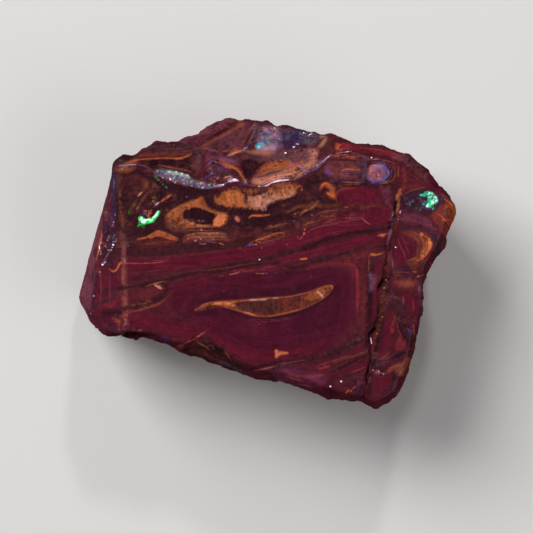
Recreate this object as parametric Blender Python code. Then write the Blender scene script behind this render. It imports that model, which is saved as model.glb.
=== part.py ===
"""A rough boulder opal: one chunk of banded ironstone with seams of precious opal.

The show face, the left flank and the back are sawn flat. Every other side is broken stone, and a deep
crack crosses the show face near its right end. The stone lies on its sawn back with the show face up.
The origin is the middle of its footprint. Outlines are in millimetres and the solid is in metres.
"""

import math

import bmesh
import bpy
import numpy as np
from mathutils import Vector, noise

MM = 0.001

# Driving dimensions, in millimetres.
THICKNESS = 14.0  # from the sawn back to the show face
CRACK_DEPTH = 1.5
CRACK_TOP_MARGIN = 0.6  # how far the crack's cutter stands above the show face
LUMP_RELIEF = 0.3  # height of the lumps on the broken sides
LUMP_SIZE = 3.4  # distance from one lump to the next
LUMP_FRACTAL = (0.8, 2.2, 3)  # how fast smaller lumps fade, how much smaller each is, and how many
SCOOP_RELIEF = 1.1  # the shell-like scoops between sharp ridges
SCOOP_SIZE = 4.2
SCOOP_MEAN = 0.42  # keeps most of the relief inside the smooth shape
LEDGE_RELIEF = 0.2
LEDGE_STEP = 1.5  # spacing of the ledges that follow the banding
LEDGE_LENGTH = 9
LEDGE_LEVELS = 3
GRAIN_RELIEF = 0.16
GRAIN_SIZE = 1.1
GRAIN_SEED = Vector((7, 3, 5))
HEAVE_RELIEF = 0.9  # slow swells low on the sides, so that they don't copy the girdle's outline
HEAVE_SIZE = 9
HEAVE_SEED = Vector((1, 4, 9))
HEAVE_AT_FOOT = 0.6  # share of the swell at the foot
SMOOTHING = 14  # passes that smooth the outline below the girdle

# The outlines run clockwise, seen from above, in five stretches that meet at the stone's corners.
STRETCHES = ("brow", "shoulder", "right", "toe", "sawn")
STEPS = {"brow": 64, "shoulder": 10, "right": 27, "toe": 40, "sawn": 13}

# The edge of the show face, as (x, y).
FACE_EDGE = {
    "brow": [
        (-14.5, 9.5), (-13.6, 9.8), (-12.6, 9.65), (-11.6, 9.2), (-10.8, 8.55), (-9.6, 8.2),
        (-8.1, 7.7), (-6.6, 7.4), (-5.3, 7.45), (-4.4, 7.7), (-3.6, 8.05), (-2.8, 8.1),
        (-2.0, 7.75), (-0.8, 7.5), (0.4, 7.8), (1.4, 8.1), (2.6, 8.15), (3.4, 8.5),
        (4.2, 9.1), (5.2, 9.7), (5.9, 10.4), (6.7, 10.85), (7.7, 11.05), (8.6, 10.95),
        (9.6, 10.65), (10.6, 10.4), (11.9, 10.4), (13.2, 10.5), (14.2, 10.3),
    ],
    "shoulder": [(14.2, 10.3), (15.1, 9.4), (16.3, 7.8), (17.4, 6.6), (18.1, 5.6)],
    "right": [
        (18.1, 5.6), (17.9, 4.4), (17.5, 3.0), (17.1, 1.7), (16.3, 0.6), (15.8, -0.4),
        (15.5, -2.0), (15.3, -3.8), (15.0, -5.6), (14.6, -7.6), (14.2, -9.2), (13.6, -11.0),
        (12.9, -12.6), (12.1, -13.4), (11.0, -13.8),
    ],
    "toe": [
        (11.0, -13.8), (9.8, -13.4), (8.4, -13.2), (7.0, -12.8), (5.6, -12.2), (3.8, -11.6),
        (1.8, -11.2), (-0.2, -10.8), (-2.0, -10.3), (-3.2, -9.6), (-4.2, -8.8), (-5.3, -7.9),
        (-6.2, -7.3), (-7.2, -7.7), (-8.4, -8.2), (-9.4, -7.9), (-10.6, -7.4), (-12.0, -7.1),
        (-13.7, -6.9),
    ],
    "sawn": [(-13.7, -6.9), (-14.5, 9.5)],
}

# The rim just outside the face, as (x, y, drop below the face). Only the sawn flank's rim is wide.
SAWN_RIM = [(-14.6, -7.1, 0.35), (-14.85, 9.6, 0.2)]
RIM_WIDTH = 0.12
RIM_DROP = 0.14

# The shoulder line part of the way down, as (x, y, drop). The other stretches bulge by a rule.
SHOULDER_LINE = {
    "brow": [
        (-15.25, 9.7, 1.2), (-14.8, 10.15, 1.2), (-13.8, 10.2, 1.3), (-12.8, 10.35, 1.7),
        (-11.6, 10.6, 2.2), (-10.3, 10.7, 2.8), (-8.8, 10.5, 3.2), (-7.6, 10.2, 3.0),
        (-6.5, 9.9, 2.2), (-5.6, 10.4, 1.6), (-4.6, 9.9, 2.0), (-3.6, 9.4, 1.7),
        (-2.6, 9.7, 2.6), (-1.4, 10.2, 3.3), (0.2, 10.6, 3.4), (1.9, 11.0, 3.3),
        (3.4, 11.2, 3.1), (5.2, 11.4, 2.4), (6.4, 11.6, 1.8), (7.9, 11.65, 1.3),
        (9.4, 11.4, 1.1), (10.9, 11.05, 0.9), (12.6, 10.8, 0.7), (14.3, 10.5, 0.6),
    ],
    "sawn": [
        (-16.3, -7.2, 2.6), (-17.6, -5.2, 3.4), (-17.1, -0.4, 3.1), (-16.5, 3.4, 2.4),
        (-15.8, 7.0, 1.6), (-15.25, 9.7, 1.2),
    ],
}
BULGE_OUT = 0.55  # share of the way from the rim to the girdle
BULGE_DOWN = 0.35

# The girdle is the stone's outermost line, as (x, y, drop).
GIRDLE = {
    "brow": [
        (-15.3, 10.1, 1.8), (-15.15, 10.25, 2.0), (-14.6, 10.6, 2.4), (-14.1, 10.65, 2.6),
        (-13.5, 10.5, 2.8), (-13.1, 10.55, 2.9), (-12.6, 10.9, 3.2), (-12.1, 11.3, 3.6),
        (-11.6, 11.5, 4.0), (-11.1, 11.8, 4.4), (-10.5, 11.9, 4.7), (-9.6, 11.8, 5.0),
        (-9.1, 11.9, 5.4), (-8.8, 12.2, 5.9), (-8.5, 12.4, 6.2), (-8.1, 12.55, 6.6),
        (-7.7, 12.55, 6.8), (-7.1, 12.9, 7.2), (-6.6, 13.3, 7.4), (-6.1, 13.6, 7.6),
        (-5.5, 13.95, 7.8), (-4.9, 14.1, 7.9), (-4.2, 14.2, 8.0), (-3.7, 14.4, 8.0),
        (-3.3, 14.5, 8.0), (-3.0, 14.35, 8.0), (-2.1, 14.2, 7.8), (-1.1, 14.0, 7.8),
        (-0.4, 13.75, 7.7), (0.6, 13.7, 7.6), (1.2, 13.5, 7.5), (1.7, 13.75, 7.4),
        (2.2, 13.85, 7.3), (2.9, 13.65, 7.2), (3.7, 13.55, 7.0), (4.4, 13.3, 6.8),
        (5.2, 13.1, 6.4), (6.0, 12.9, 6.2), (6.7, 12.8, 6.0), (7.4, 12.6, 5.6),
        (8.4, 12.3, 5.2), (9.1, 12.0, 4.8), (9.9, 11.9, 4.5), (10.7, 11.7, 4.2),
        (11.6, 11.5, 3.8), (12.4, 11.1, 3.2), (13.0, 11.0, 2.8), (13.7, 10.8, 2.2),
        (14.3, 10.6, 1.8),
    ],
    "shoulder": [
        (14.3, 10.6, 1.8), (15.2, 10.0, 1.6), (16.4, 8.4, 1.5), (17.6, 7.2, 1.5),
        (18.4, 6.4, 1.6), (19.0, 5.5, 2.0),
    ],
    "right": [
        (19.0, 5.5, 2.0), (18.7, 4.2, 2.0), (18.3, 2.5, 2.0), (18.0, 1.3, 2.2),
        (17.2, 0.6, 2.0), (16.6, -0.1, 1.8), (16.1, -1.3, 1.6), (15.8, -3.3, 1.5),
        (15.4, -5.6, 1.5), (15.1, -7.6, 1.5), (14.7, -9.5, 1.6), (14.0, -11.6, 1.8),
        (13.2, -13.4, 2.2), (12.4, -14.0, 2.6), (11.2, -14.5, 3.0),
    ],
    "toe": [
        (11.2, -14.5, 3.0), (10.2, -14.2, 2.8), (9.6, -13.9, 2.0), (7.9, -13.8, 2.0),
        (5.9, -13.4, 2.2), (4.4, -12.8, 2.4), (2.4, -12.25, 2.6), (0.4, -11.9, 2.8),
        (-1.6, -11.4, 3.0), (-3.1, -10.8, 3.2), (-5.1, -10.2, 4.2), (-6.6, -9.7, 4.6),
        (-8.6, -8.8, 3.4), (-10.1, -8.15, 2.4), (-11.6, -7.6, 1.8), (-13.1, -7.35, 1.8),
        (-14.9, -7.5, 3.0), (-16.3, -7.4, 4.5), (-17.8, -6.2, 8.0), (-19.0, -3.6, 11.0),
    ],
    "sawn": [
        (-19.0, -3.6, 11.0), (-17.9, 0.7, 9.6), (-16.9, 4.0, 7.8), (-16.2, 6.2, 6.0),
        (-15.8, 7.6, 4.4), (-15.4, 9.0, 2.6), (-15.3, 10.1, 1.8),
    ],
}

# Below the girdle the sides lean in: first to the waist, then to the foot, the edge of the back.
WAIST_HEIGHT = 0.45  # share of the girdle's height above the back
WAIST_INSET = 0.07  # millimetres in for each millimetre of the girdle's height
FOOT_INSET = (0.7, 0.17)  # the same for the foot, after a first constant step
FOOT_BEVEL = 0.3

# Rows of faces from each ring to the next: rim, shoulder, girdle, waist, foot.
ROWS = (1, 7, 7, 5, 4)
# How rough each ring is on its broken stretches, and on the sawn flank. 1 is full relief.
ROUGH_BROKEN = (0.0, 0.1, 1.0, 0.25, 1.0, 0.5)
ROUGH_SAWN = (0.0, 0.0, 0.05, 0.05, 0.1, 0.1)

# Crests, ledges and seams of the brow: (height, half width, path). A negative height is a furrow.
BROW_LINES = (
    (0.5, 0.45, [(-6.4, 9.6), (-5.4, 10.3), (-4.6, 9.8), (-4.0, 9.4), (-3.0, 9.1), (-2.2, 8.4)]),
    (0.4, 0.5, [(-6.6, 11.2), (-5.1, 11.1), (-3.6, 11.2), (-2.6, 11.5), (-1.9, 11.6)]),
    (0.25, 0.45, [(-12.6, 10.1), (-11.6, 10.2), (-10.1, 10.4), (-8.6, 10.4), (-7.6, 10.8)]),
    (-0.35, 0.4, [(-0.9, 14.0), (-1.8, 12.4), (-2.3, 11.5)]),
    (0.4, 0.6, [(6.0, 10.6), (6.2, 11.4), (6.5, 12.7)]),
    (-0.3, 0.4, [(-11.4, 9.6), (-9.6, 9.4), (-7.6, 9.3)]),
)
# Hollows and lumps of the brow: (height, x, y, half length, half width).
BROW_SPOTS = (
    (-0.6, -5.3, 9.0, 1.2, 0.8),
    (-0.5, 3.4, 12.4, 2.0, 1.1),
    (-0.4, -1.4, 9.7, 1.5, 0.7),
    (0.35, 1.4, 9.6, 1.8, 0.9),
    (0.4, -14.4, 10.3, 0.7, 0.35),
    (-0.35, 8.4, 11.9, 1.4, 0.5),
)
BROW_LOWEST = 5.0  # height below which the side of the brow has none of these
BROW_FRONT = 7.0  # the brow lies beyond this y

# The crack, from the top of the face to its lower edge: (x, y, width) of its left lip.
CRACK = [
    (12.95, 6.5, 0.3), (12.8, 5.8, 0.7), (12.6, 5.4, 0.9), (12.7, 4.9, 0.75), (12.45, 4.3, 0.85),
    (12.15, 4.0, 1.0), (12.2, 3.4, 0.85), (11.95, 2.8, 0.95), (11.9, 1.7, 0.85), (11.9, 1.0, 0.8),
    (11.8, 0.4, 0.8), (11.65, -0.4, 0.8), (11.6, -0.8, 0.8), (11.5, -1.5, 0.75),
    (11.2, -2.0, 0.85), (10.95, -2.3, 1.0), (11.05, -2.7, 0.85), (10.95, -3.5, 0.85),
    (11.0, -4.6, 0.75), (10.9, -5.5, 0.7), (10.75, -6.1, 0.75), (10.7, -6.5, 0.75),
    (10.45, -6.8, 0.9), (10.25, -7.1, 1.0), (10.25, -7.7, 0.9), (10.3, -8.4, 0.75),
    (10.2, -8.9, 0.7), (10.2, -9.5, 0.55), (10.1, -10.1, 0.55), (10.05, -10.7, 0.5),
    (9.9, -11.3, 0.5), (9.9, -11.9, 0.45), (9.75, -12.6, 0.4), (9.6, -13.4, 0.4),
    (9.55, -15.0, 0.5),
]
CRACK_FLOOR = 0.12  # the crack's width at its bottom, under the left lip


def resampled(points, steps):
    """steps + 1 points evenly spaced along a polyline of any dimension."""
    line = np.array(points, float)
    along = np.concatenate([[0], np.cumsum(np.linalg.norm(np.diff(line, axis=0), axis=1))])
    at = np.linspace(0, along[-1], steps + 1)
    return np.stack([np.interp(at, along, line[:, k]) for k in range(line.shape[1])], axis=1)


def around(outline):
    """One closed ring of points from an outline's five stretches, without the shared corners."""
    return np.concatenate([resampled(outline[name], STEPS[name])[:-1] for name in STRETCHES])


def at_height(ring, height):
    return np.column_stack([ring[:, :2], np.full(len(ring), height)])


def inset(ring, distance):
    """The ring moved in towards the stone's middle by a distance for each point."""
    reach = np.linalg.norm(ring[:, :2], axis=1)
    return ring[:, :2] * (1 - distance / reach)[:, None]


def is_sawn():
    """Which points of a ring lie on the sawn flank."""
    return np.concatenate([np.full(STEPS[name], name == "sawn") for name in STRETCHES])


def key_rings():
    """The stone's rings from the face edge down to the foot, as (x, y, z) in millimetres."""
    sawn = is_sawn()
    face = at_height(around(FACE_EDGE), THICKNESS)
    girdle = around(GIRDLE)
    girdle[:, 2] = THICKNESS - girdle[:, 2]

    outward = girdle[:, :2] - face[:, :2]
    outward /= np.linalg.norm(outward, axis=1)[:, None]
    rim = face + np.column_stack([outward * RIM_WIDTH, np.full(len(face), -RIM_DROP)])
    sawn_rim = resampled(SAWN_RIM, STEPS["sawn"])[:-1]
    rim[sawn] = np.column_stack([sawn_rim[:, :2], THICKNESS - sawn_rim[:, 2]])

    shoulder = rim.copy()
    shoulder[:, :2] += (girdle - rim)[:, :2] * BULGE_OUT
    shoulder[:, 2] += (girdle - rim)[:, 2] * BULGE_DOWN
    start = 0
    for name in STRETCHES:
        if name in SHOULDER_LINE:
            line = resampled(SHOULDER_LINE[name], STEPS[name])[:-1]
            line[:, 2] = THICKNESS - line[:, 2]
            shoulder[start : start + STEPS[name]] = line
        start += STEPS[name]

    eased = smoothed(girdle)
    height = eased[:, 2]
    waist = np.column_stack([inset(eased, WAIST_INSET * height), WAIST_HEIGHT * height])
    foot = at_height(inset(eased, FOOT_INSET[0] + FOOT_INSET[1] * height), FOOT_BEVEL)
    return face, rim, shoulder, girdle, heave(waist, 1), heave(foot, HEAVE_AT_FOOT)


def rows_between(rings):
    """Every ring of the mesh with its roughness: the key rings, and even rows between them."""
    sawn = is_sawn()
    rough = [np.where(sawn, ROUGH_SAWN[i], ROUGH_BROKEN[i]) for i in range(len(rings))]
    made = [(rings[0], rough[0])]
    for i, count in enumerate(ROWS):
        for k in range(1, count + 1):
            share = k / count
            place = rings[i] * (1 - share) + rings[i + 1] * share
            made.append((place, rough[i] * (1 - share) + rough[i + 1] * share))
    return made


def distance_to(path, x, y):
    """Distance from a point to a polyline, seen from above."""
    line = np.array(path, float)
    starts, spans = line[:-1], np.diff(line, axis=0)
    here = np.array([x, y]) - starts
    along = np.clip((here * spans).sum(axis=1) / (spans**2).sum(axis=1), 0, 1)
    return np.linalg.norm(here - along[:, None] * spans, axis=1).min()


def brow_relief(point):
    """The brow's own crests, furrows, hollows and lumps."""
    if point.y < BROW_FRONT or point.z < BROW_LOWEST:
        return 0.0
    total = 0.0
    for height, width, path in BROW_LINES:
        total += height * max(0.0, 1 - distance_to(path, point.x, point.y) / width)
    for height, x, y, length, width in BROW_SPOTS:
        total += height * math.exp(-(((point.x - x) / length) ** 2) - ((point.y - y) / width) ** 2)
    return total


def relief(point):
    """Height of the broken surface over its smooth shape, in millimetres."""
    lump = noise.fractal(point / LUMP_SIZE, *LUMP_FRACTAL)
    scoop = noise.voronoi(point / SCOOP_SIZE)[0][0] ** 2 - SCOOP_MEAN
    layer = Vector((point.x / LEDGE_LENGTH, point.y / LEDGE_STEP, point.z / LEDGE_STEP))
    ledge = round(noise.noise(layer) * LEDGE_LEVELS) / LEDGE_LEVELS
    grain = noise.noise(point / GRAIN_SIZE + GRAIN_SEED)
    return (
        LUMP_RELIEF * lump
        + SCOOP_RELIEF * scoop
        + LEDGE_RELIEF * ledge
        + GRAIN_RELIEF * grain
        + brow_relief(point)
    )


def smoothed(ring):
    """The ring with its notches eased out, except on the sawn flank."""
    sawn = is_sawn()
    fixed = sawn | np.roll(sawn, 1) | np.roll(sawn, -1)
    for _ in range(SMOOTHING):
        eased = (np.roll(ring, 1, axis=0) + 2 * ring + np.roll(ring, -1, axis=0)) / 4
        ring = np.where(fixed[:, None], ring, eased)
    return ring


def heave(ring, share):
    """The ring with slow swells, in and out from the stone's middle."""
    reach = np.linalg.norm(ring[:, :2], axis=1)
    swell = np.array([noise.noise(Vector(p) / HEAVE_SIZE + HEAVE_SEED) for p in ring])
    swell = np.where(is_sawn(), 0, swell) * HEAVE_RELIEF * share
    moved = ring.copy()
    moved[:, :2] *= (1 + swell / reach)[:, None]
    return moved


def add_stone():
    """The stone before its crack: rings bridged into a skin, capped by the face and the back."""
    rings = rows_between(key_rings())
    mesh = bmesh.new()
    weight = {}
    loops = []
    for place, rough in rings:
        loop = [mesh.verts.new(Vector(p)) for p in place]
        weight.update(zip(loop, rough))
        loops.append(loop)
    back = [mesh.verts.new(Vector((*inset(np.array([v.co]), FOOT_BEVEL)[0], 0))) for v in loops[-1]]
    weight.update((v, 0.0) for v in back)
    loops.append(back)
    count = len(back)
    for upper, lower in zip(loops, loops[1:]):
        for i in range(count):
            k = (i + 1) % count
            mesh.faces.new((upper[i], upper[k], lower[k], lower[i]))
    mesh.faces.new(reversed(loops[0]))
    mesh.faces.new(back)
    bmesh.ops.recalc_face_normals(mesh, faces=mesh.faces)
    mesh.normal_update()
    for vertex, share in weight.items():
        if share:
            vertex.co += vertex.normal * relief(vertex.co) * share
    centre_footprint(mesh)
    return object_from(mesh, "boulder_opal")


def centre_footprint(mesh):
    """Moves the mesh so that the middle of its box stands over the origin."""
    low = [min(v.co[k] for v in mesh.verts) for k in range(2)]
    high = [max(v.co[k] for v in mesh.verts) for k in range(2)]
    middle = Vector(((low[0] + high[0]) / 2, (low[1] + high[1]) / 2, 0))
    print(f"footprint centred by {-middle.x:.3f}, {-middle.y:.3f} mm")
    bmesh.ops.translate(mesh, verts=mesh.verts, vec=-middle)


def add_crack_cutter():
    """A long wedge with a ragged left wall, upright on the left and sloping on the right."""
    top = THICKNESS + CRACK_TOP_MARGIN
    bottom = THICKNESS - CRACK_DEPTH
    mesh = bmesh.new()
    sections = []
    for x, y, width in CRACK:
        spread = width * CRACK_TOP_MARGIN / CRACK_DEPTH
        corners = (
            (x, top),
            (x + width + spread, top),
            (x + CRACK_FLOOR, bottom),
            (x - CRACK_FLOOR, bottom),
        )
        sections.append([mesh.verts.new((cx, y, cz)) for cx, cz in corners])
    for here, there in zip(sections, sections[1:]):
        for i in range(4):
            k = (i + 1) % 4
            mesh.faces.new((here[i], here[k], there[k], there[i]))
    mesh.faces.new(sections[0])
    mesh.faces.new(reversed(sections[-1]))
    bmesh.ops.recalc_face_normals(mesh, faces=mesh.faces)
    cutter = object_from(mesh, "crack_cutter")
    cutter.hide_render = True
    cutter.display_type = "WIRE"
    return cutter


def object_from(mesh, name):
    """A linked object, in metres, from a bmesh in millimetres."""
    bmesh.ops.scale(mesh, verts=mesh.verts, vec=(MM, MM, MM))
    data = bpy.data.meshes.new(name)
    mesh.to_mesh(data)
    mesh.free()
    made = bpy.data.objects.new(name, data)
    bpy.context.scene.collection.objects.link(made)
    return made


def ironstone_material():
    """Wet maroon ironstone."""
    material = bpy.data.materials.new("ironstone")
    material.use_nodes = True
    shader = material.node_tree.nodes["Principled BSDF"]
    shader.inputs["Base Color"].default_value = (0.075, 0.013, 0.02, 1)
    shader.inputs["Roughness"].default_value = 0.35
    shader.inputs["Metallic"].default_value = 0.0
    return material


def main():
    for old in list(bpy.data.objects):
        bpy.data.objects.remove(old)
    stone = add_stone()
    stone.data.materials.append(ironstone_material())
    cut = stone.modifiers.new("crack", "BOOLEAN")
    cut.object = add_crack_cutter()
    cut.operation = "DIFFERENCE"


main()
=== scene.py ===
# %% [markdown]
# # A rough boulder opal
#
# Boulder opal is opal that formed in the cracks and hollows of a brown ironstone
# pebble. This piece has been sawn once to look inside: one flat, faintly polished show
# face, and broken stone all round it. The face shows maroon and brown bands that wrap
# round a long ochre lens, a pale opal seam along one edge, and two green flashes.
#
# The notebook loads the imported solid, makes a fine mesh of the same stone from it,
# gives that mesh its grain and chips, draws the bands and veins on it, and then builds
# the finish, the light and the camera.

import math

import bpy
import numpy as np
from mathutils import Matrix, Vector, noise
from mathutils.kdtree import KDTree


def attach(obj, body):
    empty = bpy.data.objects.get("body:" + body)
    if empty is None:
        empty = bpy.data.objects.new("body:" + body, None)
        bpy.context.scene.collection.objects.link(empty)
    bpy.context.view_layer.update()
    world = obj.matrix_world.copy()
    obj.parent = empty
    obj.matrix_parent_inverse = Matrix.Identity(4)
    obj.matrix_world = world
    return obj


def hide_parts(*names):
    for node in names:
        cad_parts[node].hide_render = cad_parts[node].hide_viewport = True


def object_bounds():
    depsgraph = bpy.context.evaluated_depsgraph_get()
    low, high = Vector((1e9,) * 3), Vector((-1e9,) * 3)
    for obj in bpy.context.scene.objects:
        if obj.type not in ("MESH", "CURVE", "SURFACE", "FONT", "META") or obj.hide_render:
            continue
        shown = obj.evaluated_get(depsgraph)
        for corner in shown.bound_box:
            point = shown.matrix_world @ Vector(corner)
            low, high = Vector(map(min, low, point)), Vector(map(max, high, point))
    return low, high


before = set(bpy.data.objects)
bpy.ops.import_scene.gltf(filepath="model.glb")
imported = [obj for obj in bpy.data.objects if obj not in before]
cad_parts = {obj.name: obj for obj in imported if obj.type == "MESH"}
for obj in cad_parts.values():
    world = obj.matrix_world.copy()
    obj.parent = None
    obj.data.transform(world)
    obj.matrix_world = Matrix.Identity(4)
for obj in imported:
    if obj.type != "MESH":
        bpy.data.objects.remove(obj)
cad_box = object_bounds()

MM = 0.001  # a millimetre in metres
FACE = cad_box[1].z / MM  # the height of the sawn show face


def corner(point):
    """A corner of a box, in tenths of a millimetre."""
    return [round(v / MM, 1) for v in point]


print("solid from", corner(cad_box[0]), "to", corner(cad_box[1]))

# %% [markdown]
# ## A fine mesh of the same stone
#
# The stone is one natural piece, so it stays one mesh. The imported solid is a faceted
# shell of loose triangles. A copy is welded first. Then a voxel Remesh lays an even
# grid of small quads over it, which holds the saw cut, the crack and the ridges, and
# has points enough for grain and for drawn veins. Subdividing would keep the facets
# and their uneven sizes, so the remesh is the better start.

# %% Weld and remesh the stone
GRAIN = 0.19  # the side of one small quad, in millimetres
WELD = 0.001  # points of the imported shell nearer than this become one


def only(piece):
    """Selects this piece alone."""
    bpy.ops.object.select_all(action="DESELECT")
    piece.select_set(True)
    bpy.context.view_layer.objects.active = piece


def finish_modifier(piece, kind, **settings):
    """Adds a modifier, sets it and applies it."""
    modifier = piece.modifiers.new(kind.lower(), kind)
    for name, value in settings.items():
        setattr(modifier, name, value)
    only(piece)
    bpy.ops.object.modifier_apply(modifier=modifier.name)


def copy_of(node, name):
    """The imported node's shape as a new welded piece."""
    piece = bpy.data.objects.new(name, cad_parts[node].data.copy())
    bpy.context.scene.collection.objects.link(piece)
    piece.data.materials.clear()
    only(piece)
    bpy.ops.object.mode_set(mode="EDIT")
    bpy.ops.mesh.select_all(action="SELECT")
    bpy.ops.mesh.remove_doubles(threshold=WELD * MM)
    bpy.ops.object.mode_set(mode="OBJECT")
    return piece


def places(piece):
    """The mesh's points in millimetres, one row each."""
    flat = np.empty(len(piece.data.vertices) * 3, np.float32)
    piece.data.vertices.foreach_get("co", flat)
    return flat.reshape(-1, 3).astype(float) / MM


def facings(piece):
    """The mesh's smooth normals, one row each."""
    flat = np.empty(len(piece.data.vertices) * 3, np.float32)
    piece.data.vertex_normals.foreach_get("vector", flat)
    return flat.reshape(-1, 3).astype(float)


stone = copy_of("boulder_opal", "opal_rough")
finish_modifier(stone, "REMESH", mode="VOXEL", voxel_size=GRAIN * MM)
print(len(stone.data.vertices), "points,", len(stone.data.polygons), "faces")

# %% [markdown]
# ## Sawn and broken
#
# A saw leaves a plane and a hammer leaves scoops, so the two kinds of surface must look
# different. Each point gets a share, from 0 on the sawn face and back, and little on the
# left edge, to 1 on broken stone. The share steers the grain here and the roughness
# later. The sheet used for drawing is marked in tenths of a millimetre, and its top left
# corner lies off the stone.

# %% Helpers for whole lists of points
SHEET = (266.4, 262.62)  # where the stone's centre lies on the drawing sheet


def on_sheet(at):
    """Where points in millimetres fall on the drawing sheet, seen from straight above."""
    return np.stack([SHEET[0] + at[:, 0] * 10, SHEET[1] - at[:, 1] * 10], axis=1)


def ease(values, low, high):
    """A smooth step from 0 at low to 1 at high."""
    t = np.clip((values - low) / (high - low), 0, 1)
    return t * t * (3 - 2 * t)


def ripple(at, size, seed):
    """Smooth noise between about -1 and 1, with swells of this size."""
    return np.array([noise.noise(Vector(p)) for p in at / size + seed])


def give(piece, name, values):
    """Writes one number, or one colour with its strength, for each point."""
    kind, field = ("FLOAT", "value") if values.ndim == 1 else ("FLOAT_COLOR", "color")
    layer = piece.data.attributes.new(name, kind, "POINT")
    layer.data.foreach_set(field, values.astype(np.float32).ravel())


def group(piece, name, weights):
    """A vertex group, for a modifier that acts more on some points than on others."""
    made = piece.vertex_groups.new(name=name)
    for index in np.flatnonzero(weights > 0.01):
        made.add([int(index)], float(weights[index]), "REPLACE")
    return made.name


# %% Which points are broken
LEFT_EDGE = 121  # the sawn left edge lies left of this line on the sheet
FLAT = 0.06  # how close to the plane of the face or the back a point counts as on it
UPRIGHT = 0.9  # the least lift of the normal there
TURN = (-0.1, -0.4)  # how far the normal leans left where the left side begins, and where it is full
BEVEL = (1.2, 0.4)  # the depths below the face where its bevel begins to count, and where it counts fully
LEFT_SAWN, LEFT_DULL = 0.85, 0.95  # how much of the breakage, and of the polish, the left edge lacks

at, facing = places(stone), facings(stone)
on_face = (at[:, 2] > FACE - FLAT) & (facing[:, 2] > UPRIGHT)
on_back = (at[:, 2] < FLAT) & (facing[:, 2] < -UPRIGHT)
across = on_sheet(at)[:, 0]
left = ease(across, LEFT_EDGE + 6, LEFT_EDGE - 2)
left *= ease(facing[:, 0], *TURN) + ease(at[:, 2], FACE - BEVEL[0], FACE - BEVEL[1])
broken = np.where(on_face | on_back, 0.0, 1.0) * (1 - LEFT_SAWN * np.clip(left, 0, 1))
polish = 1 - np.maximum(broken, LEFT_DULL * ease(across, LEFT_EDGE + 1, LEFT_EDGE - 5))

# %% How near each point of the face is to its rim
RIM_REACH = 0.9  # how far in from the rim a chip can reach
STRETCH = 2.4  # the length of the chipped and the whole stretches of the rim

rim_tree = KDTree(int((~on_face).sum()))
for index in np.flatnonzero(~on_face):
    rim_tree.insert(Vector(at[index]), int(index))
rim_tree.balance()
from_rim = np.zeros(len(at))
for index in np.flatnonzero(on_face):
    from_rim[index] = rim_tree.find(Vector(at[index]))[2]
rim = np.where(on_face, ease(from_rim, RIM_REACH, 0), 0) * ease(ripple(at, STRETCH, 5.0), -0.1, 0.4)
print(int(on_face.sum()), "points on the show face,", int((broken > 0.5).sum()), "on broken stone")

# %% [markdown]
# ## Grain and chips
#
# Ironstone breaks in shallow shells with a sharp edge between them, and each shell has a
# fine sandy grain. Three Displace modifiers make that on the broken share only: rounded
# cells for the shells, clouds for lumps, and small clouds for grain. A fourth one pulls
# small chips out of the saw cut's rim, which is why the rim glints in the light.

# %% Roughen the broken stone
def cells(name, size):
    """Rounded cells with sharp edges between them."""
    texture = bpy.data.textures.new(name, "VORONOI")
    texture.noise_scale = size * MM
    texture.distance_metric = "DISTANCE_SQUARED"
    return texture


def clouds(name, size, depth):
    """Soft lumps, with smaller lumps on them."""
    texture = bpy.data.textures.new(name, "CLOUDS")
    texture.noise_scale = size * MM
    texture.noise_depth = depth
    return texture


def roughen(piece, texture, height, share, **more):
    """Raises the piece by a texture, up to this height in millimetres."""
    finish_modifier(piece, "DISPLACE", texture=texture, strength=height * MM, vertex_group=share, **more)


SHELL_LEVEL = 0.12  # the texture's grey that stays where it is, which keeps the mean surface in place
CHIP_LEVEL = 0.3  # the same for the chips

broken_share = group(stone, "broken_stone", broken)
rim_share = group(stone, "rim", rim)
roughen(stone, cells("shells", size=2.6), 0.5, broken_share, mid_level=SHELL_LEVEL)
roughen(stone, clouds("lumps", size=1.3, depth=2), 0.45, broken_share)
roughen(stone, clouds("grain", size=0.45, depth=1), 0.2, broken_share)
roughen(stone, cells("chips", size=1.1), -0.4, rim_share, mid_level=CHIP_LEVEL, direction="Z")
print("four modifiers applied")

# %% [markdown]
# ## The crack
#
# An old shrinkage crack crosses the right end of the face. It is open in places and
# half filled in others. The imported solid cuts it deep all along, so that it can't close
# up. A modifier would lift the whole crack alike, so its points are lifted here, and
# each keeps a share of its depth that changes down the sheet.

# %% A shallower crack
# the left lip, down the sheet
CRACK_LINE = (
    (396, 196), (393, 213), (387, 226), (382, 256), (378, 278),
    (374, 300), (370, 320), (366, 350), (364, 392),
)
CRACK_WIDTH = (-3, 13)  # how far left and right of that lip the crack's walls may lie
CRACK_DEPTH = (0.08, 1.7)  # how far below the face
CRACK_SPAN = (192, 396)  # how far down the sheet
# the share of its depth that the crack keeps: place down the sheet, share
KEPT_DEPTH = (
    (192, 0.2), (199, 0.4), (209, 0.5), (213, 0.12), (217, 0.5), (224, 0.45), (229, 0.1), (242, 0.05),
    (252, 0.12), (262, 0.12), (272, 0.08), (278, 0.08), (282, 0.6), (287, 0.6), (291, 0.08), (305, 0.08),
    (312, 0.1), (322, 0.12), (327, 0.2), (330, 0.55), (333, 0.4), (337, 0.08), (345, 0.12), (352, 0.28),
    (360, 0.28), (376, 0.4), (396, 0.35),
)


def beside(line, spots):
    """How far right of a line that runs down the sheet each spot lies."""
    line = np.array(line, float)
    return spots[:, 0] - np.interp(spots[:, 1], line[:, 1], line[:, 0])


def between(values, low, high):
    """Whether each value lies inside a range."""
    return (values > low) & (values < high)


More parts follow.
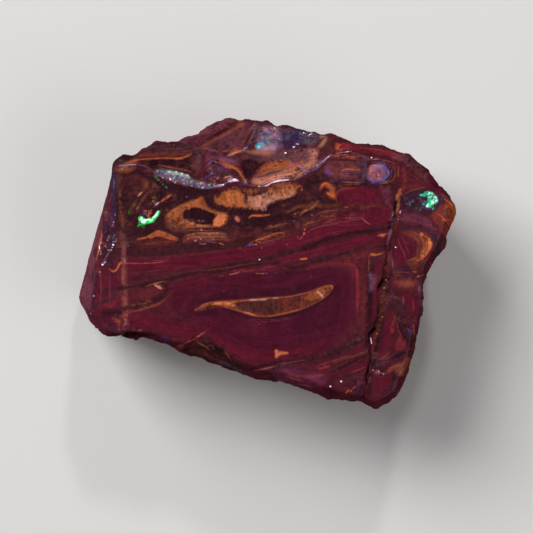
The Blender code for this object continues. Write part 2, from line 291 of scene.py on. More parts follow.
at = places(stone)
spot = on_sheet(at)
in_crack = between(FACE - at[:, 2], *CRACK_DEPTH)
in_crack &= between(beside(CRACK_LINE, spot), *CRACK_WIDTH) & between(spot[:, 1], *CRACK_SPAN)
kept = np.interp(spot[in_crack, 1], *np.transpose(KEPT_DEPTH))
at[in_crack, 2] = FACE - kept * (FACE - at[in_crack, 2])
stone.data.vertices.foreach_set("co", (at * MM).astype(np.float32).ravel())
stone.data.update()
print(int(in_crack.sum()), "points in the crack")

# %% Clear the groups and shade smooth
stone.vertex_groups.clear()
for polygon in stone.data.polygons:
    polygon.use_smooth = True
print("relief done")

# %% [markdown]
# ## How the layers run through the stone
#
# The bands are sheets of mud and iron that go down through the stone, so a band that
# meets the face's rim goes on over it. A point's place on the drawing sheet is therefore
# its place seen from above, and below the stone's widest line it leans over with depth
# and wanders a little, as bedding does. Without the lean the sides would look like
# straight curtains.

# %% The sheet place of every point
LEAN = (0.3, 0.5)  # how far the layers lean over for each millimetre down
WANDER = 1.1  # how far they wander, in millimetres
WANDER_DEPTH = 4  # the depth at which they wander that far
SKIRT = 0.3  # the sides count as hidden from this far below the widest line
SECTORS = 90  # directions in which the widest line is looked for
ROUNDS = 3  # how often its height is evened out


def widest_height(at):
    """The height of the stone's widest line in the direction of each point."""
    angle = (np.arctan2(at[:, 1], at[:, 0]) / math.tau % 1) * SECTORS
    sector = angle.astype(int) % SECTORS
    reach = np.hypot(at[:, 0], at[:, 1])
    height = np.array([at[sector == k][reach[sector == k].argmax(), 2] for k in range(SECTORS)])
    for _ in range(ROUNDS):
        height = (np.roll(height, 1) + height + np.roll(height, -1)) / 3
    return np.interp(angle, np.arange(SECTORS + 1) + 0.5, np.append(height, height[0]))


at = places(stone)
hidden = np.clip(widest_height(at) - at[:, 2] - SKIRT, 0, None)
drift = WANDER * ease(hidden, 0, WANDER_DEPTH)
leant = at.copy()
leant[:, 0] += LEAN[0] * hidden + drift * ripple(at, 5, 3.0)
leant[:, 1] += LEAN[1] * hidden + drift * ripple(at, 4, 8.0)
sheet = on_sheet(leant)
print("deepest hidden point", round(float(hidden.max()), 1), "mm below the widest line")

# %% [markdown]
# ## Drawing tools
#
# Every mark is a line of given points with a width, or a closed outline. For each
# point of the mesh a coat keeps the way to the nearest mark's middle, the half width
# there and the mark's colour. The shader then takes the length of that way less the half
# width, which is zero right on the edge, however coarse the mesh is. So a fine vein stays
# fine, and noise can fray its edge. A wash is softer and is simply mixed into the ground.

# %% Colours of this stone
# white and pale also draw painted highlights, where rims and edges glint
COLOURS = {
    "maroon": (70, 19, 31), "plum": (58, 18, 30), "grape": (52, 18, 35), "wine": (60, 22, 30),
    "oxblood": (84, 24, 34), "rose": (112, 48, 56), "rust": (98, 40, 35), "brick": (72, 27, 30),
    "umber": (46, 22, 26), "soot": (34, 16, 21), "olive": (56, 29, 28), "khaki": (76, 39, 32),
    "ochre": (114, 60, 36), "gold": (126, 68, 40), "sand": (148, 92, 66), "clay": (96, 50, 42),
    "peach": (136, 86, 70), "flesh": (156, 98, 78), "lilac": (96, 62, 86), "mauve": (80, 38, 50),
    "violet": (66, 44, 112), "navy": (38, 30, 58), "slate": (58, 36, 48), "steel": (62, 58, 70),
    "mint": (108, 126, 114), "teal": (52, 116, 120), "aqua": (48, 122, 148), "pale": (150, 116, 138),
    "white": (214, 194, 224), "cream": (150, 112, 92), "moss": (50, 66, 24), "leaf": (14, 120, 40),
    "emerald": (10, 190, 84), "sea": (14, 170, 140), "dusk": (62, 38, 46), "orange": (150, 72, 40),
    "iris": (70, 66, 120), "ash": (46, 27, 37), "tan": (94, 46, 48), "salmon": (150, 74, 64),
    "coral": (102, 34, 40), "amber": (168, 92, 58), "sienna": (74, 33, 27), "fig": (68, 37, 47),
    "dun": (90, 61, 66), "mist": (90, 74, 100), "heather": (72, 27, 45), "frost": (205, 255, 232),
}
BRIGHTNESS = 1.95  # daylight colours of the stone, over the dim colours above
POLISH_HAZE = 0.003  # the grey that the polish adds by itself, so the colour under it is deeper


def tint(name):
    """A named screen colour as the shader's linear numbers, by the standard screen curve."""
    parts = np.array(COLOURS[name]) / 255
    light = BRIGHTNESS * np.where(parts < 0.04045, parts / 12.92, ((parts + 0.055) / 1.055) ** 2.4)
    return np.maximum(light - POLISH_HAZE, POLISH_HAZE)


print(len(COLOURS), "colours")

# %% Lines and outlines
REACH = 8.0  # how far from its edge a mark is still felt, in tenths of a millimetre
LIFT, FADE = 1.6, 5.0  # where the way lifts off, and where the width has faded, so neighbours stay apart
SINK = 2  # how far the edge of a mark has drawn back where the mark has faded
TAPER, TIP = 0.3, 0.25  # the share of a line's length that narrows at each end, and the width at its tip


def length(offsets):
    """The length of each offset on the sheet."""
    return np.hypot(offsets[:, 0], offsets[:, 1])


def rounded(points, closed=False):
    """Cuts the corners of a line twice, which makes it a curve."""
    line = np.array(points, float)
    for _ in range(2 if len(line) > 2 else 0):
        ends = np.roll(line, -1, axis=0) if closed else line[1:]
        starts = line if closed else line[:-1]
        cut = np.stack([starts * 0.75 + ends * 0.25, starts * 0.25 + ends * 0.75], axis=1)
        cut = cut.reshape(-1, line.shape[1])
        line = cut if closed else np.concatenate([line[:1], cut, line[-1:]])
    return line


def tapered(line):
    """The line with its width drawn in towards both ends."""
    step = np.hypot(*np.diff(line[:, :2], axis=0).T)
    along = np.concatenate([[0], np.cumsum(step)])
    end = np.minimum(along, along[-1] - along) / max(along[-1] * TAPER, 0.01)
    line[:, 2] *= TIP + (1 - TIP) * np.clip(end, 0, 1)
    return line


def near(line, reach):
    """The points whose sheet place lies in the box round a line."""
    low, high = line[:, :2].min(0) - reach, line[:, :2].max(0) + reach
    return np.flatnonzero(((sheet > low) & (sheet < high)).all(axis=1))


# %% How far a point lies from a mark
def way_to(line, spots):
    """The offset from the nearest place on a line of (x, y, half width), and the half width there."""
    best = np.full(len(spots), np.inf)
    offset, half = np.zeros((len(spots), 2)), np.zeros(len(spots))
    for start, end in zip(line, line[1:]):
        along = end[:2] - start[:2]
        t = np.clip((spots - start[:2]) @ along / max(along @ along, 1e-6), 0, 1)
        off = spots - start[:2] - t[:, None] * along
        width = start[2] + t * (end[2] - start[2])
        gap = length(off) - width
        closer = gap < best
        best[closer], half[closer] = gap[closer], width[closer]
        offset[closer] = off[closer]
    return offset, half


def way_to_area(outline, spots):
    """The same for a closed outline: no offset inside it, and how deep inside as the width."""
    closed = np.concatenate([outline, outline[:1]])
    offset, _ = way_to(np.column_stack([closed, np.zeros(len(closed))]), spots)
    inside = np.zeros(len(spots), bool)
    for (x0, y0), (x1, y1) in zip(closed, closed[1:]):
        crosses = (y0 > spots[:, 1]) != (y1 > spots[:, 1])
        at_x = x0 + (spots[:, 1] - y0) * (x1 - x0) / (y1 - y0 if y1 != y0 else 1)
        inside ^= crosses & (spots[:, 0] < at_x)
    depth = np.where(inside, length(offset), 0)
    offset[inside] = 0
    return offset, depth


# %% A coat of crisp marks
class Coat:
    """Marks of one kind, which fade out at a depth below the stone's widest line."""

    def __init__(self, name, depth):
        self.name = name
        self.fade = np.clip(1 - hidden / depth, 0, 1)
        self.gap = np.full(len(sheet), REACH)
        self.way = np.zeros((len(sheet), 4))
        self.way[:, 0] = REACH
        self.paint = np.zeros((len(sheet), 4))
        self.rag = np.zeros(len(sheet))
        self.marks = 0

    def lay(self, index, offset, half, colour, share, rag):
        """Adds a mark. The deepest mark gives a point its way; the last one over it gives its colour."""
        fade = self.fade[index]
        half = half * fade
        reach = length(offset)
        gap = reach - half + SINK * (1 - fade)
        closer, over = gap < self.gap[index], (gap < 0) & (self.gap[index] < 0)
        paint = np.broadcast_to([*tint(colour), share], (len(index), 4)).copy()
        under = self.paint[index]
        paint[over, :3] = under[over, :3] + (paint[over, :3] - under[over, :3]) * share
        paint[over, 3] = np.maximum(under[over, 3], share)
        self.paint[index] = np.where((closer | over)[:, None], paint, under)
        index, gap, half = index[closer], gap[closer], half[closer]
        half = half * np.clip(1 - gap / FADE, 0, 1)
        unit = offset[closer] / np.maximum(reach[closer], 1e-6)[:, None]
        self.gap[index], self.rag[index] = gap, rag
        self.way[index, :2] = unit * np.maximum(gap + half, 0)[:, None]
        self.way[index, 2] = np.maximum(gap - LIFT, 0)
        self.way[index, 3] = half
        self.marks += 1

    def line(self, colour, half, *points, share=0.9, taper=True, rag=1):
        """A line of (x, y) or (x, y, half width) points. Its edge is as ragged as rag says."""
        line = rounded([(*p, half) if len(p) == 2 else p for p in points])
        line = tapered(line) if taper else line
        index = near(line, REACH + line[:, 2].max())
        self.lay(index, *way_to(line, sheet[index]), colour, share, rag)

    def dots(self, colour, half, *points, share=1):
        """Separate round spots."""
        for x, y in points:
            self.line(colour, half, (x - 0.2, y), (x + 0.2, y), share=share, taper=False)

    def area(self, colour, *outline, share=1, rag=1):
        """A filled outline."""
        outline = rounded(outline, closed=True)
        index = near(outline, REACH)
        self.lay(index, *way_to_area(outline, sheet[index]), colour, share, rag)

    def keep(self, piece):
        """Writes the coat to the mesh as three attributes."""
        give(piece, self.name + "_way", self.way)
        give(piece, self.name + "_paint", self.paint)
        give(piece, self.name + "_rag", self.rag)
        print(self.marks, "marks in", self.name)


# %% Soft washes in the ground colour
POTCH_DEPTH = 3  # how far below the widest line glassy stone is seen, in millimetres

ground = np.tile(tint("wine"), (len(sheet), 1))
potch = np.zeros(len(sheet))


def beyond(line, soft):
    """The points near a line of (x, y, half width), and how far outside its edge each one lies."""
    index = near(line, soft + line[:, 2].max())
    offset, half = way_to(line, sheet[index])
    return index, length(offset) - half


def soak(index, gap, colour, soft, share):
    """Mixes a colour into the ground, from full inside the edge to nothing outside it."""
    share = (share * ease(gap, soft / 2, -soft / 2))[:, None]
    ground[index] += (tint(colour) - ground[index]) * share


def wash(colour, soft, share, *points):
    """A soft line of (x, y, half width) points."""
    soak(*beyond(rounded(points), soft), colour, soft, share)


def pool(colour, soft, share, *outline):
    """A soft filled outline."""
    outline = rounded(outline, closed=True)
    index = near(outline, soft)
    offset, depth = way_to_area(outline, sheet[index])
    soak(index, length(offset) - depth, colour, soft, share)


def opalise(soft, share, *points):
    """Marks a soft line of (x, y, half width) points as glassy potch, which the shader speckles."""
    index, gap = beyond(rounded(points), soft)
    share = share * ease(gap, soft / 2, -soft / 2)
    potch[index] = np.maximum(potch[index], share * np.clip(1 - hidden[index] / POTCH_DEPTH, 0, 1))


# %% [markdown]
# ## The ground
#
# The iron-rich mud was laid down in layers of different colour. Soft washes give each
# region its own ground before any line is drawn: brown above, a bright maroon band
# across the middle, and a plum-coloured body round the lens below it. Potch is opal
# without fire. Where the stone holds it, the ground is marked as glassy for the shader.

# %% Washes on the upper face
pool("umber", 10, 1, (105, 166), (150, 172), (200, 190), (245, 190), (300, 186), (325, 166), (345, 158),
    (392, 168), (396, 205), (345, 216), (300, 228), (250, 242), (200, 250), (105, 256))
pool("soot", 10, 0.6, (150, 176), (180, 186), (205, 192), (196, 197), (176, 206), (160, 216),
    (150, 206), (148, 190))
wash("soot", 8, 0.6, (150, 230, 5), (136, 230, 4), (128, 218, 4))
wash("soot", 8, 0.6, (206, 200, 3), (214, 208, 3), (232, 212, 3), (258, 213, 3))
wash("brick", 3, 0.6, (122, 190, 1.2), (123, 181, 1.4), (129, 176, 1.2), (138, 176, 1.4), (143, 182, 1.2),
    (142, 190, 1.2))
wash("soot", 4, 0.7, (128, 171, 2), (140, 171, 2.4), (149, 178, 2), (152, 188, 2))
wash("rust", 2.5, 0.35, (129, 184, 0.8), (133, 182, 1), (138, 184, 1), (137, 188, 0.8), (132, 187, 0.6))
wash("rust", 2.5, 0.3, (126, 192, 0.7), (131, 194, 0.9), (137, 194, 0.8), (141, 189, 0.7))
wash("ochre", 4, 0.75, (116, 169, 1.6), (125, 170, 3), (132, 168, 2.6), (135, 165, 1.6))
wash("clay", 3, 0.5, (119, 176, 1.4), (118, 186, 1.2), (119, 196, 1.6))
wash("ochre", 3, 0.35, (120, 192, 1.2), (120, 204, 1.6), (121, 214, 2), (123, 221, 2.4), (123, 226, 1.4))
wash("ochre", 3.5, 0.5, (144, 181, 1.2), (147, 183, 2.2), (146, 187, 1.6), (144, 191, 0.8))
wash("clay", 2.5, 0.6, (150, 190, 0.8), (145, 196, 1), (140, 203, 1), (137, 212, 0.8))
wash("clay", 2.5, 0.5, (136, 200, 0.8), (133, 209, 1), (131, 214, 0.8))
wash("clay", 2.5, 0.45, (152, 192, 0.8), (155, 184, 1), (158, 176, 0.8))

# %% Washes right of the ochre patch
wash("soot", 8, 0.6, (226, 211, 3), (250, 212, 2.4), (268, 209, 2), (285, 202, 2), (298, 196, 2))
wash("soot", 6, 0.5, (234, 222, 2), (252, 222, 3), (270, 219, 3), (290, 216, 3))
wash("soot", 6, 0.5, (276, 206, 2), (290, 207, 3), (308, 202, 3))
wash("ochre", 3, 0.35, (288, 212, 1.4), (300, 205, 1.2), (326, 206, 1.4), (340, 205, 1))
wash("khaki", 5, 0.6, (282, 203, 1.6), (286, 201, 1.6))
wash("clay", 4, 0.6, (303, 212, 1.4), (308, 209, 2), (314, 206, 1.6), (317, 202, 1.4))
wash("olive", 5, 0.8, (266, 228, 1.6), (274, 226, 2), (283, 224, 1.6))
wash("khaki", 5, 0.7, (292, 215, 1.6), (299, 213, 1.6))
wash("khaki", 5, 0.7, (304, 227, 1.4), (312, 222, 2), (324, 218, 2), (334, 214, 2), (346, 211, 2))
wash("rust", 4, 0.4, (248, 243, 1), (258, 240, 1.6), (270, 236, 2), (280, 234, 1.8), (288, 236, 1.4))
wash("orange", 4, 0.75, (321, 189, 0.8), (322, 185, 1.4), (326, 184, 1.8), (331, 187, 2), (334, 191, 2.2),
    (330, 194, 2.8), (335, 197, 1.6))
wash("soot", 3, 0.8, (322, 190, 1), (326, 188, 1.4), (325, 194, 1), (320, 198, 2.4))
wash("umber", 4, 0.9, (340, 185, 1.4), (360, 186, 1.6), (376, 186, 1.4))
wash("clay", 3, 0.5, (330, 156, 1), (344, 156, 1.4), (358, 158, 1.4))
wash("olive", 5, 0.9, (346, 209, 2), (358, 205, 3), (370, 201, 2.6), (382, 200, 2))
wash("rust", 3, 0.7, (361, 208, 0.8), (370, 206, 1), (381, 206, 1))
wash("mauve", 4, 0.9, (388, 188, 2), (387, 198, 3), (388, 206, 2.4))
wash("rose", 3, 0.5, (384, 209, 1), (390, 208, 1.4))

# %% Washes under the bands across the middle
wash("khaki", 8, 0.45, (125, 243, 3), (235, 240, 2), (290, 231, 3))
wash("brick", 8, 0.7, (140, 247, 3), (160, 246, 4), (174, 246, 3))
wash("rust", 5, 0.5, (138, 242, 1.5), (152, 241, 3.5), (164, 240, 5), (175, 241, 2.4))
wash("soot", 4, 0.85, (181, 234, 1.6), (180, 240, 2.6), (180, 246, 4), (184, 250, 2.6))
wash("clay", 4, 0.6, (187, 236, 1.6), (204, 234, 3), (225, 235, 2))
wash("rust", 4, 0.55, (185, 240, 2), (196, 240, 3.6), (210, 239, 4), (226, 240, 3.4), (233, 242, 2))
wash("brick", 3, 0.6, (186, 246, 1), (200, 246, 1.4), (216, 247, 1.4), (230, 245, 1))
wash("brick", 6, 0.7, (232, 238, 4), (246, 236, 4), (262, 232, 3))
wash("maroon", 6, 1, (105, 264, 5), (160, 265, 5), (200, 260, 6), (240, 254, 6), (280, 246, 6),
    (320, 234, 6), (350, 226, 6), (390, 216, 6))
wash("maroon", 5, 1, (262, 262, 1), (300, 256, 3), (330, 248, 5), (360, 240, 5), (388, 236, 4))
wash("brick", 8, 0.7, (105, 292, 8), (140, 294, 6), (160, 290, 3))

# %% Washes below the bands
pool("plum", 12, 1, (168, 296), (182, 284), (225, 274), (262, 270), (300, 270), (345, 267), (355, 290),
    (352, 320), (335, 345), (290, 360), (245, 364), (222, 348), (205, 332), (188, 322), (172, 312))
wash("grape", 26, 0.3, (300, 322, 16), (335, 300, 8), (270, 285, 4), (310, 280, 4))
wash("maroon", 12, 0.9, (105, 318, 6), (150, 322, 8), (190, 332, 7), (230, 350, 6), (270, 358, 4),
    (320, 346, 3))
wash("wine", 12, 0.8, (250, 374, 3), (310, 372, 8), (350, 362, 8), (350, 385, 10))
wash("maroon", 6, 0.8, (320, 362, 1.6), (340, 357, 2), (360, 347, 2.4), (368, 343, 2))
wash("ash", 5, 0.95, (326, 354, 1.4), (340, 351, 2), (352, 345, 2.4), (363, 338, 2.4))
wash("umber", 4, 0.9, (276, 363, 1.6), (296, 362, 2.4), (314, 359, 2.4), (330, 355, 2))
wash("khaki", 4, 0.8, (334, 362, 1), (344, 358, 1.8), (350, 356, 1.4))
wash("olive", 4, 0.9, (334, 370, 1.6), (348, 364, 1.6), (360, 359, 1.4), (368, 354, 1.2))
wash("maroon", 4, 0.8, (336, 374, 1.6), (350, 369, 2), (365, 362, 2))
wash("ash", 4, 0.7, (345, 378, 1.6), (356, 376, 3), (360, 386, 3), (356, 394, 2.4))
wash("mauve", 3, 0.6, (356, 376, 1), (359, 382, 1.6), (358, 388, 1))
pool("umber", 4, 0.95, (181, 352), (190, 345), (198, 340), (207, 336), (211, 344), (226, 347),
    (232, 358), (246, 371), (240, 374), (216, 364), (198, 359))
wash("khaki", 4, 0.7, (190, 350, 2), (204, 352, 3), (216, 358, 3))
wash("steel", 3, 0.5, (216, 360, 1), (224, 363, 1.6), (234, 368, 1.6), (246, 374, 1.2))
wash("slate", 4, 0.6, (262, 374, 1), (276, 379, 1.4), (296, 385, 1.6))
pool("ash", 2.5, 0.9, (200, 338), (206, 336), (210, 338), (210, 343), (204, 343))
pool("soot", 2.5, 0.8, (213, 346), (219, 344), (226, 346), (227, 351), (218, 352))
wash("ash", 3, 0.9, (262, 370, 1), (272, 369, 2.2), (282, 366, 2.4), (290, 366, 1.6))
pool("heather", 4, 0.9, (270, 375), (280, 368), (292, 368), (310, 373), (324, 373), (330, 380),
    (318, 387), (300, 384), (282, 380))
wash("tan", 3, 0.6, (284, 371, 1.4), (292, 375, 2), (300, 378, 2), (308, 377, 1.4), (322, 376, 1.4))
wash("grape", 3, 0.9, (158, 334, 1.4), (165, 338, 3), (170, 344, 2.4))
wash("violet", 3, 0.2, (162, 336, 1), (168, 341, 1.4))
wash("soot", 3, 0.7, (148, 333, 1), (156, 336, 1.2), (160, 342, 1))

# %% Washes beside the crack's left lip
wash("khaki", 4, 0.5, (378, 236, 1), (384, 235, 1.6), (388, 234, 1.6))
wash("soot", 5, 0.8, (371, 262, 3), (370, 300, 4), (370, 338, 4), (366, 346, 2))
wash("maroon", 4, 0.7, (378, 264, 2.4), (375, 276, 2), (375, 300, 1.6), (374, 320, 1.6))
wash("ash", 3, 0.7, (370, 262, 0.8), (370, 272, 1), (372, 260, 1), (378, 258, 0.8))
wash("brick", 4, 0.9, (362, 256, 3), (363, 290, 3), (363, 330, 2.5))
wash("lilac", 4, 0.5, (371, 274, 1.6), (373, 280, 2.6), (371, 290, 1.6))

# %% Washes round the lens and the eye on its left
wash("coral", 5, 0.35, (332, 264, 1.6), (345, 264, 2), (353, 266, 2), (354, 276, 1.4))
wash("coral", 6, 0.4, (300, 268, 1.4), (316, 266, 2), (330, 263, 1.4))
wash("soot", 3, 0.75, (204, 311, 0.6), (222, 310, 0.8), (236, 314, 0.9), (248, 319, 1), (262, 321, 1),
    (278, 320, 1), (292, 316, 0.9), (306, 311, 0.9), (318, 306, 1), (328, 299, 1.1), (334, 292, 1.2),
    (337, 286, 0.8))
wash("soot", 6, 0.6, (196, 296, 2), (212, 296, 2), (240, 294, 2), (270, 292, 2), (300, 288, 2),
    (318, 283, 1.4))
wash("soot", 7, 0.5, (178, 322, 2), (186, 315, 4), (200, 314, 2), (216, 312, 1.6))
wash("umber", 5, 0.7, (132, 286, 2.4), (146, 285, 2.4), (160, 284, 1.6))
wash("umber", 5, 0.8, (164, 284, 1), (166, 291, 2), (160, 298, 3), (150, 301, 3), (136, 305, 3))
wash("ochre", 3, 0.5, (130, 307, 1), (136, 305, 1.2), (145, 304, 1), (150, 302, 0.8))
wash("maroon", 8, 0.7, (174, 290, 3), (190, 283, 4), (206, 280, 3))
wash("coral", 4, 0.3, (228, 272, 1), (246, 271, 2), (262, 269, 2), (276, 269, 1.6))

# %% Washes right of the crack
wash("wine", 10, 1, (400, 170, 10), (425, 200, 12), (420, 240, 14), (410, 280, 14), (400, 330, 16),
    (388, 380, 16))
wash("ash", 7, 0.7, (410, 160, 2), (420, 172, 5), (429, 183, 4), (438, 192, 2))
wash("maroon", 7, 0.9, (402, 178, 3), (408, 184, 4))
wash("rust", 4, 0.7, (402, 158, 1), (404, 170, 1.6), (405, 182, 1.6), (402, 192, 1))
wash("rust", 4, 0.4, (406, 188, 1.4), (416, 186, 1.4))
pool("ash", 7, 0.95, (402, 194), (414, 190), (426, 187), (438, 188), (448, 198), (443, 207), (432, 213),
    (418, 214), (403, 209))
pool("rust", 6, 0.9, (430, 215), (440, 207), (446, 201), (451, 202), (456, 208), (455, 220), (452, 236),
    (447, 240), (440, 232), (434, 224))
wash("orange", 3, 0.6, (440, 192, 0.6), (446, 198, 0.8), (454, 205, 1.2), (455, 214, 1.2), (452, 232, 1.2),
    (448, 250, 1))
wash("rust", 4, 0.7, (447, 250, 1.4), (440, 258, 1.4), (434, 264, 1))
wash("mauve", 6, 0.8, (400, 217, 3), (410, 219, 5), (424, 219, 4), (434, 228, 4), (441, 238, 3),
    (442, 248, 2.4))
wash("plum", 5, 0.7, (432, 222, 1), (438, 229, 2.4), (443, 238, 2), (443, 248, 1.6))
wash("ash", 4, 0.9, (401, 228, 1.6), (414, 229, 2), (424, 229, 1.6), (433, 233, 2), (438, 243, 2.4),
    (436, 254, 2))
pool("rust", 5, 0.7, (402, 231), (412, 231), (422, 230), (431, 236), (433, 246), (428, 256), (420, 264),
    (410, 268), (412, 258), (418, 250), (414, 240), (404, 235))
pool("maroon", 5, 1, (396, 236), (404, 235), (411, 240), (415, 249), (412, 258), (404, 265), (395, 266),
    (394, 250))
wash("plum", 4, 0.8, (411, 247, 1.4), (412, 251, 2), (410, 254, 1.2))

# %% Washes low down, right of the crack
wash("ash", 4, 0.9, (392, 269, 1.6), (402, 269, 1.8), (412, 269, 1.2))
wash("ash", 4, 0.9, (393, 276, 1.8), (404, 276, 1.8), (414, 277, 1.4))
pool("rust", 7, 0.8, (394, 282), (400, 279), (408, 279), (415, 281), (414, 287), (408, 289), (398, 286))
wash("clay", 4, 0.6, (402, 281, 0.6), (409, 283, 1.6), (413, 284, 1))
wash("mauve", 5, 0.8, (418, 280, 2), (421, 292, 3), (423, 304, 3), (420, 311, 2))
pool("maroon", 5, 1, (401, 294), (408, 293), (416, 300), (421, 308), (416, 314), (408, 310), (402, 302))
wash("ash", 5, 0.95, (388, 291, 2), (394, 298, 3), (400, 303, 3), (405, 310, 2))
wash("umber", 6, 0.95, (391, 306, 2), (398, 316, 4), (405, 328, 5), (412, 342, 3))
wash("maroon", 5, 0.9, (388, 312, 1.6), (389, 322, 3), (388, 334, 4), (384, 346, 4))
pool("coral", 4, 0.5, (394, 346), (399, 336), (405, 341), (406, 349), (396, 351))
wash("ash", 4, 0.9, (371, 364, 2), (384, 361, 2), (396, 356, 2), (411, 351, 2.4))
wash("steel", 4, 0.35, (375, 365, 1.6), (383, 363, 1.6))
pool("clay", 4, 0.85, (384, 375), (389, 368), (400, 363), (411, 358), (408, 366), (402, 378),
    (396, 371))
wash("maroon", 8, 0.9, (378, 386, 6), (386, 381, 5), (392, 374, 3))
wash("ash", 4, 0.9, (394, 371, 1.6), (395, 382, 2.6), (390, 392, 3), (396, 390, 3))

# %% Washes along the crack
wash("umber", 4, 1, (397, 200, 3), (395, 225, 3), (391, 250, 3), (387, 275, 3), (383, 300, 4),
    (379, 330, 3.5), (372, 360, 3), (368, 395, 3))
wash("sand", 3, 0.7, (400, 190, 0.8), (398, 196, 1.8), (398, 204, 1.4), (397, 212, 1))
wash("brick", 2.5, 0.9, (398, 212, 1), (396, 224, 1.4), (394, 240, 1.6), (390, 256, 1.4), (388, 276, 1.4))
wash("lilac", 2.5, 0.8, (393, 212, 1), (392, 219, 1), (390, 226, 2), (390, 234, 1.4), (387, 245, 0.8))
wash("mauve", 2.5, 0.8, (388, 243, 0.8), (386, 250, 1), (393, 262, 1), (392, 268, 1), (391, 256, 0.6))
wash("khaki", 3, 0.9, (385, 286, 1.2), (383, 300, 2.2), (381, 316, 1.8), (378, 330, 1.2))
wash("mauve", 2.5, 0.7, (387, 294, 0.8), (387, 302, 1), (385, 308, 1))
wash("rust", 3, 0.6, (376, 333, 1.2), (374, 342, 1.4), (373, 350, 1))

# %% Washes on the brow, the broken slope behind the face
pool("umber", 6, 1, (110, 158), (126, 152), (150, 143), (176, 141), (200, 142), (206, 150), (196, 170),
    (206, 184), (190, 182), (160, 172), (135, 166), (112, 168))
wash("dusk", 6, 0.8, (146, 149, 3), (165, 147, 3), (190, 148, 3), (202, 148, 2))
wash("rust", 4, 0.6, (140, 155, 1.6), (155, 154, 2.4), (176, 154, 2), (188, 153, 1))
wash("dusk", 4, 0.8, (196, 154, 3), (198, 160, 4), (196, 166, 3))
wash("soot", 4, 0.8, (116, 158, 3), (124, 157, 3), (132, 157, 1.6))
wash("ochre", 3, 0.8, (124, 163, 1), (130, 162, 2), (136, 160, 1.4))
pool("fig", 6, 0.95, (176, 143), (188, 133), (204, 123), (222, 115), (240, 115), (232, 124), (214, 131),
    (196, 142))
pool("rose", 6, 0.2, (182, 140), (200, 127), (224, 117), (238, 118), (222, 126), (204, 134))
wash("plum", 4, 0.7, (188, 139, 1.4), (198, 137, 1.8), (206, 134, 1.4))
pool("fig", 5, 0.9, (204, 146), (216, 138), (232, 128), (246, 119), (252, 124), (246, 134), (240, 147),
    (222, 149), (208, 149))
wash("umber", 3, 0.9, (204, 141, 1.2), (212, 137, 1.4), (222, 130, 1.6), (231, 125, 1.2), (238, 120, 1))
wash("clay", 3, 0.8, (202, 146, 1.2), (212, 140, 1.6), (222, 135, 1.6), (232, 129, 1.8), (242, 123, 1.6))
wash("clay", 4, 0.4, (240, 122, 3), (244, 130, 2), (236, 138, 1.4))
wash("clay", 2.5, 0.85, (202, 147, 0.8), (210, 149, 1.1), (221, 151, 1.1), (231, 150, 1), (239, 147, 0.8))
wash("clay", 2.5, 0.8, (241, 146, 0.8), (244, 139, 1), (249, 130, 1.2), (255, 122, 1))
wash("steel", 2.5, 0.9, (247, 146, 0.6), (251, 138, 0.8), (254, 130, 0.8), (257, 124, 0.7))
wash("dusk", 4, 0.9, (257, 128, 1.6), (257, 136, 2.4), (253, 143, 1.6))
wash("navy", 3, 0.8, (205, 151, 0.8), (215, 153, 1.2), (226, 155, 1.2), (236, 157, 1))

# %% Washes in the brow's hollow and on the peach slope
pool("mauve", 5, 0.8, (204, 153), (216, 156), (230, 157), (240, 158), (240, 168), (228, 162),
    (214, 157), (206, 164))
pool("dusk", 4, 0.85, (205, 171), (212, 163), (220, 166), (232, 172), (239, 179), (228, 180),
    (214, 183), (206, 181))
wash("clay", 3, 0.5, (210, 165, 1), (211, 172, 1.2), (219, 177, 1.6))
wash("lilac", 3, 0.6, (212, 157, 0.8), (224, 159, 1.6), (236, 161, 1.6))
wash("peach", 2.5, 0.9, (228, 155, 0.7), (233, 153, 1.4), (238, 151, 1.4), (244, 149, 0.8))
wash("ochre", 3, 0.9, (220, 160, 1.2), (226, 164, 2.2), (233, 167, 2.2), (239, 171, 1.8), (243, 177, 1.4),
    (246, 183, 1))
pool("peach", 4, 0.65, (243, 150), (252, 149), (264, 149), (274, 148), (279, 152), (273, 156),
    (262, 155), (250, 153))
pool("dusk", 4, 0.8, (240, 153), (252, 155), (266, 156), (272, 160), (262, 163), (250, 160), (241, 158))
pool("soot", 3, 1, (240, 160), (248, 158), (258, 161), (266, 162), (258, 168), (254, 172), (249, 178),
    (245, 177), (242, 170))
pool("peach", 5, 0.9, (252, 178), (262, 172), (276, 168), (296, 166), (312, 158), (319, 160),
    (308, 171), (296, 178), (278, 180), (262, 186), (252, 184))
pool("ochre", 5, 0.95, (256, 173), (262, 167), (270, 161), (284, 159), (300, 161), (310, 158),
    (300, 167), (282, 168), (268, 172))
pool("dun", 5, 0.6, (266, 156), (278, 150), (292, 149), (304, 147), (316, 147), (320, 152), (314, 159),
    (300, 161), (282, 160), (270, 161))
wash("peach", 4, 0.5, (310, 150, 1.6), (316, 152, 2), (314, 158, 2))
pool("peach", 4, 0.5, (312, 150), (319, 148), (316, 160), (308, 163))
wash("slate", 3, 0.85, (255, 177, 1.2), (262, 176, 1.4), (271, 173, 1.4), (279, 171, 1.1), (284, 169, 0.8))

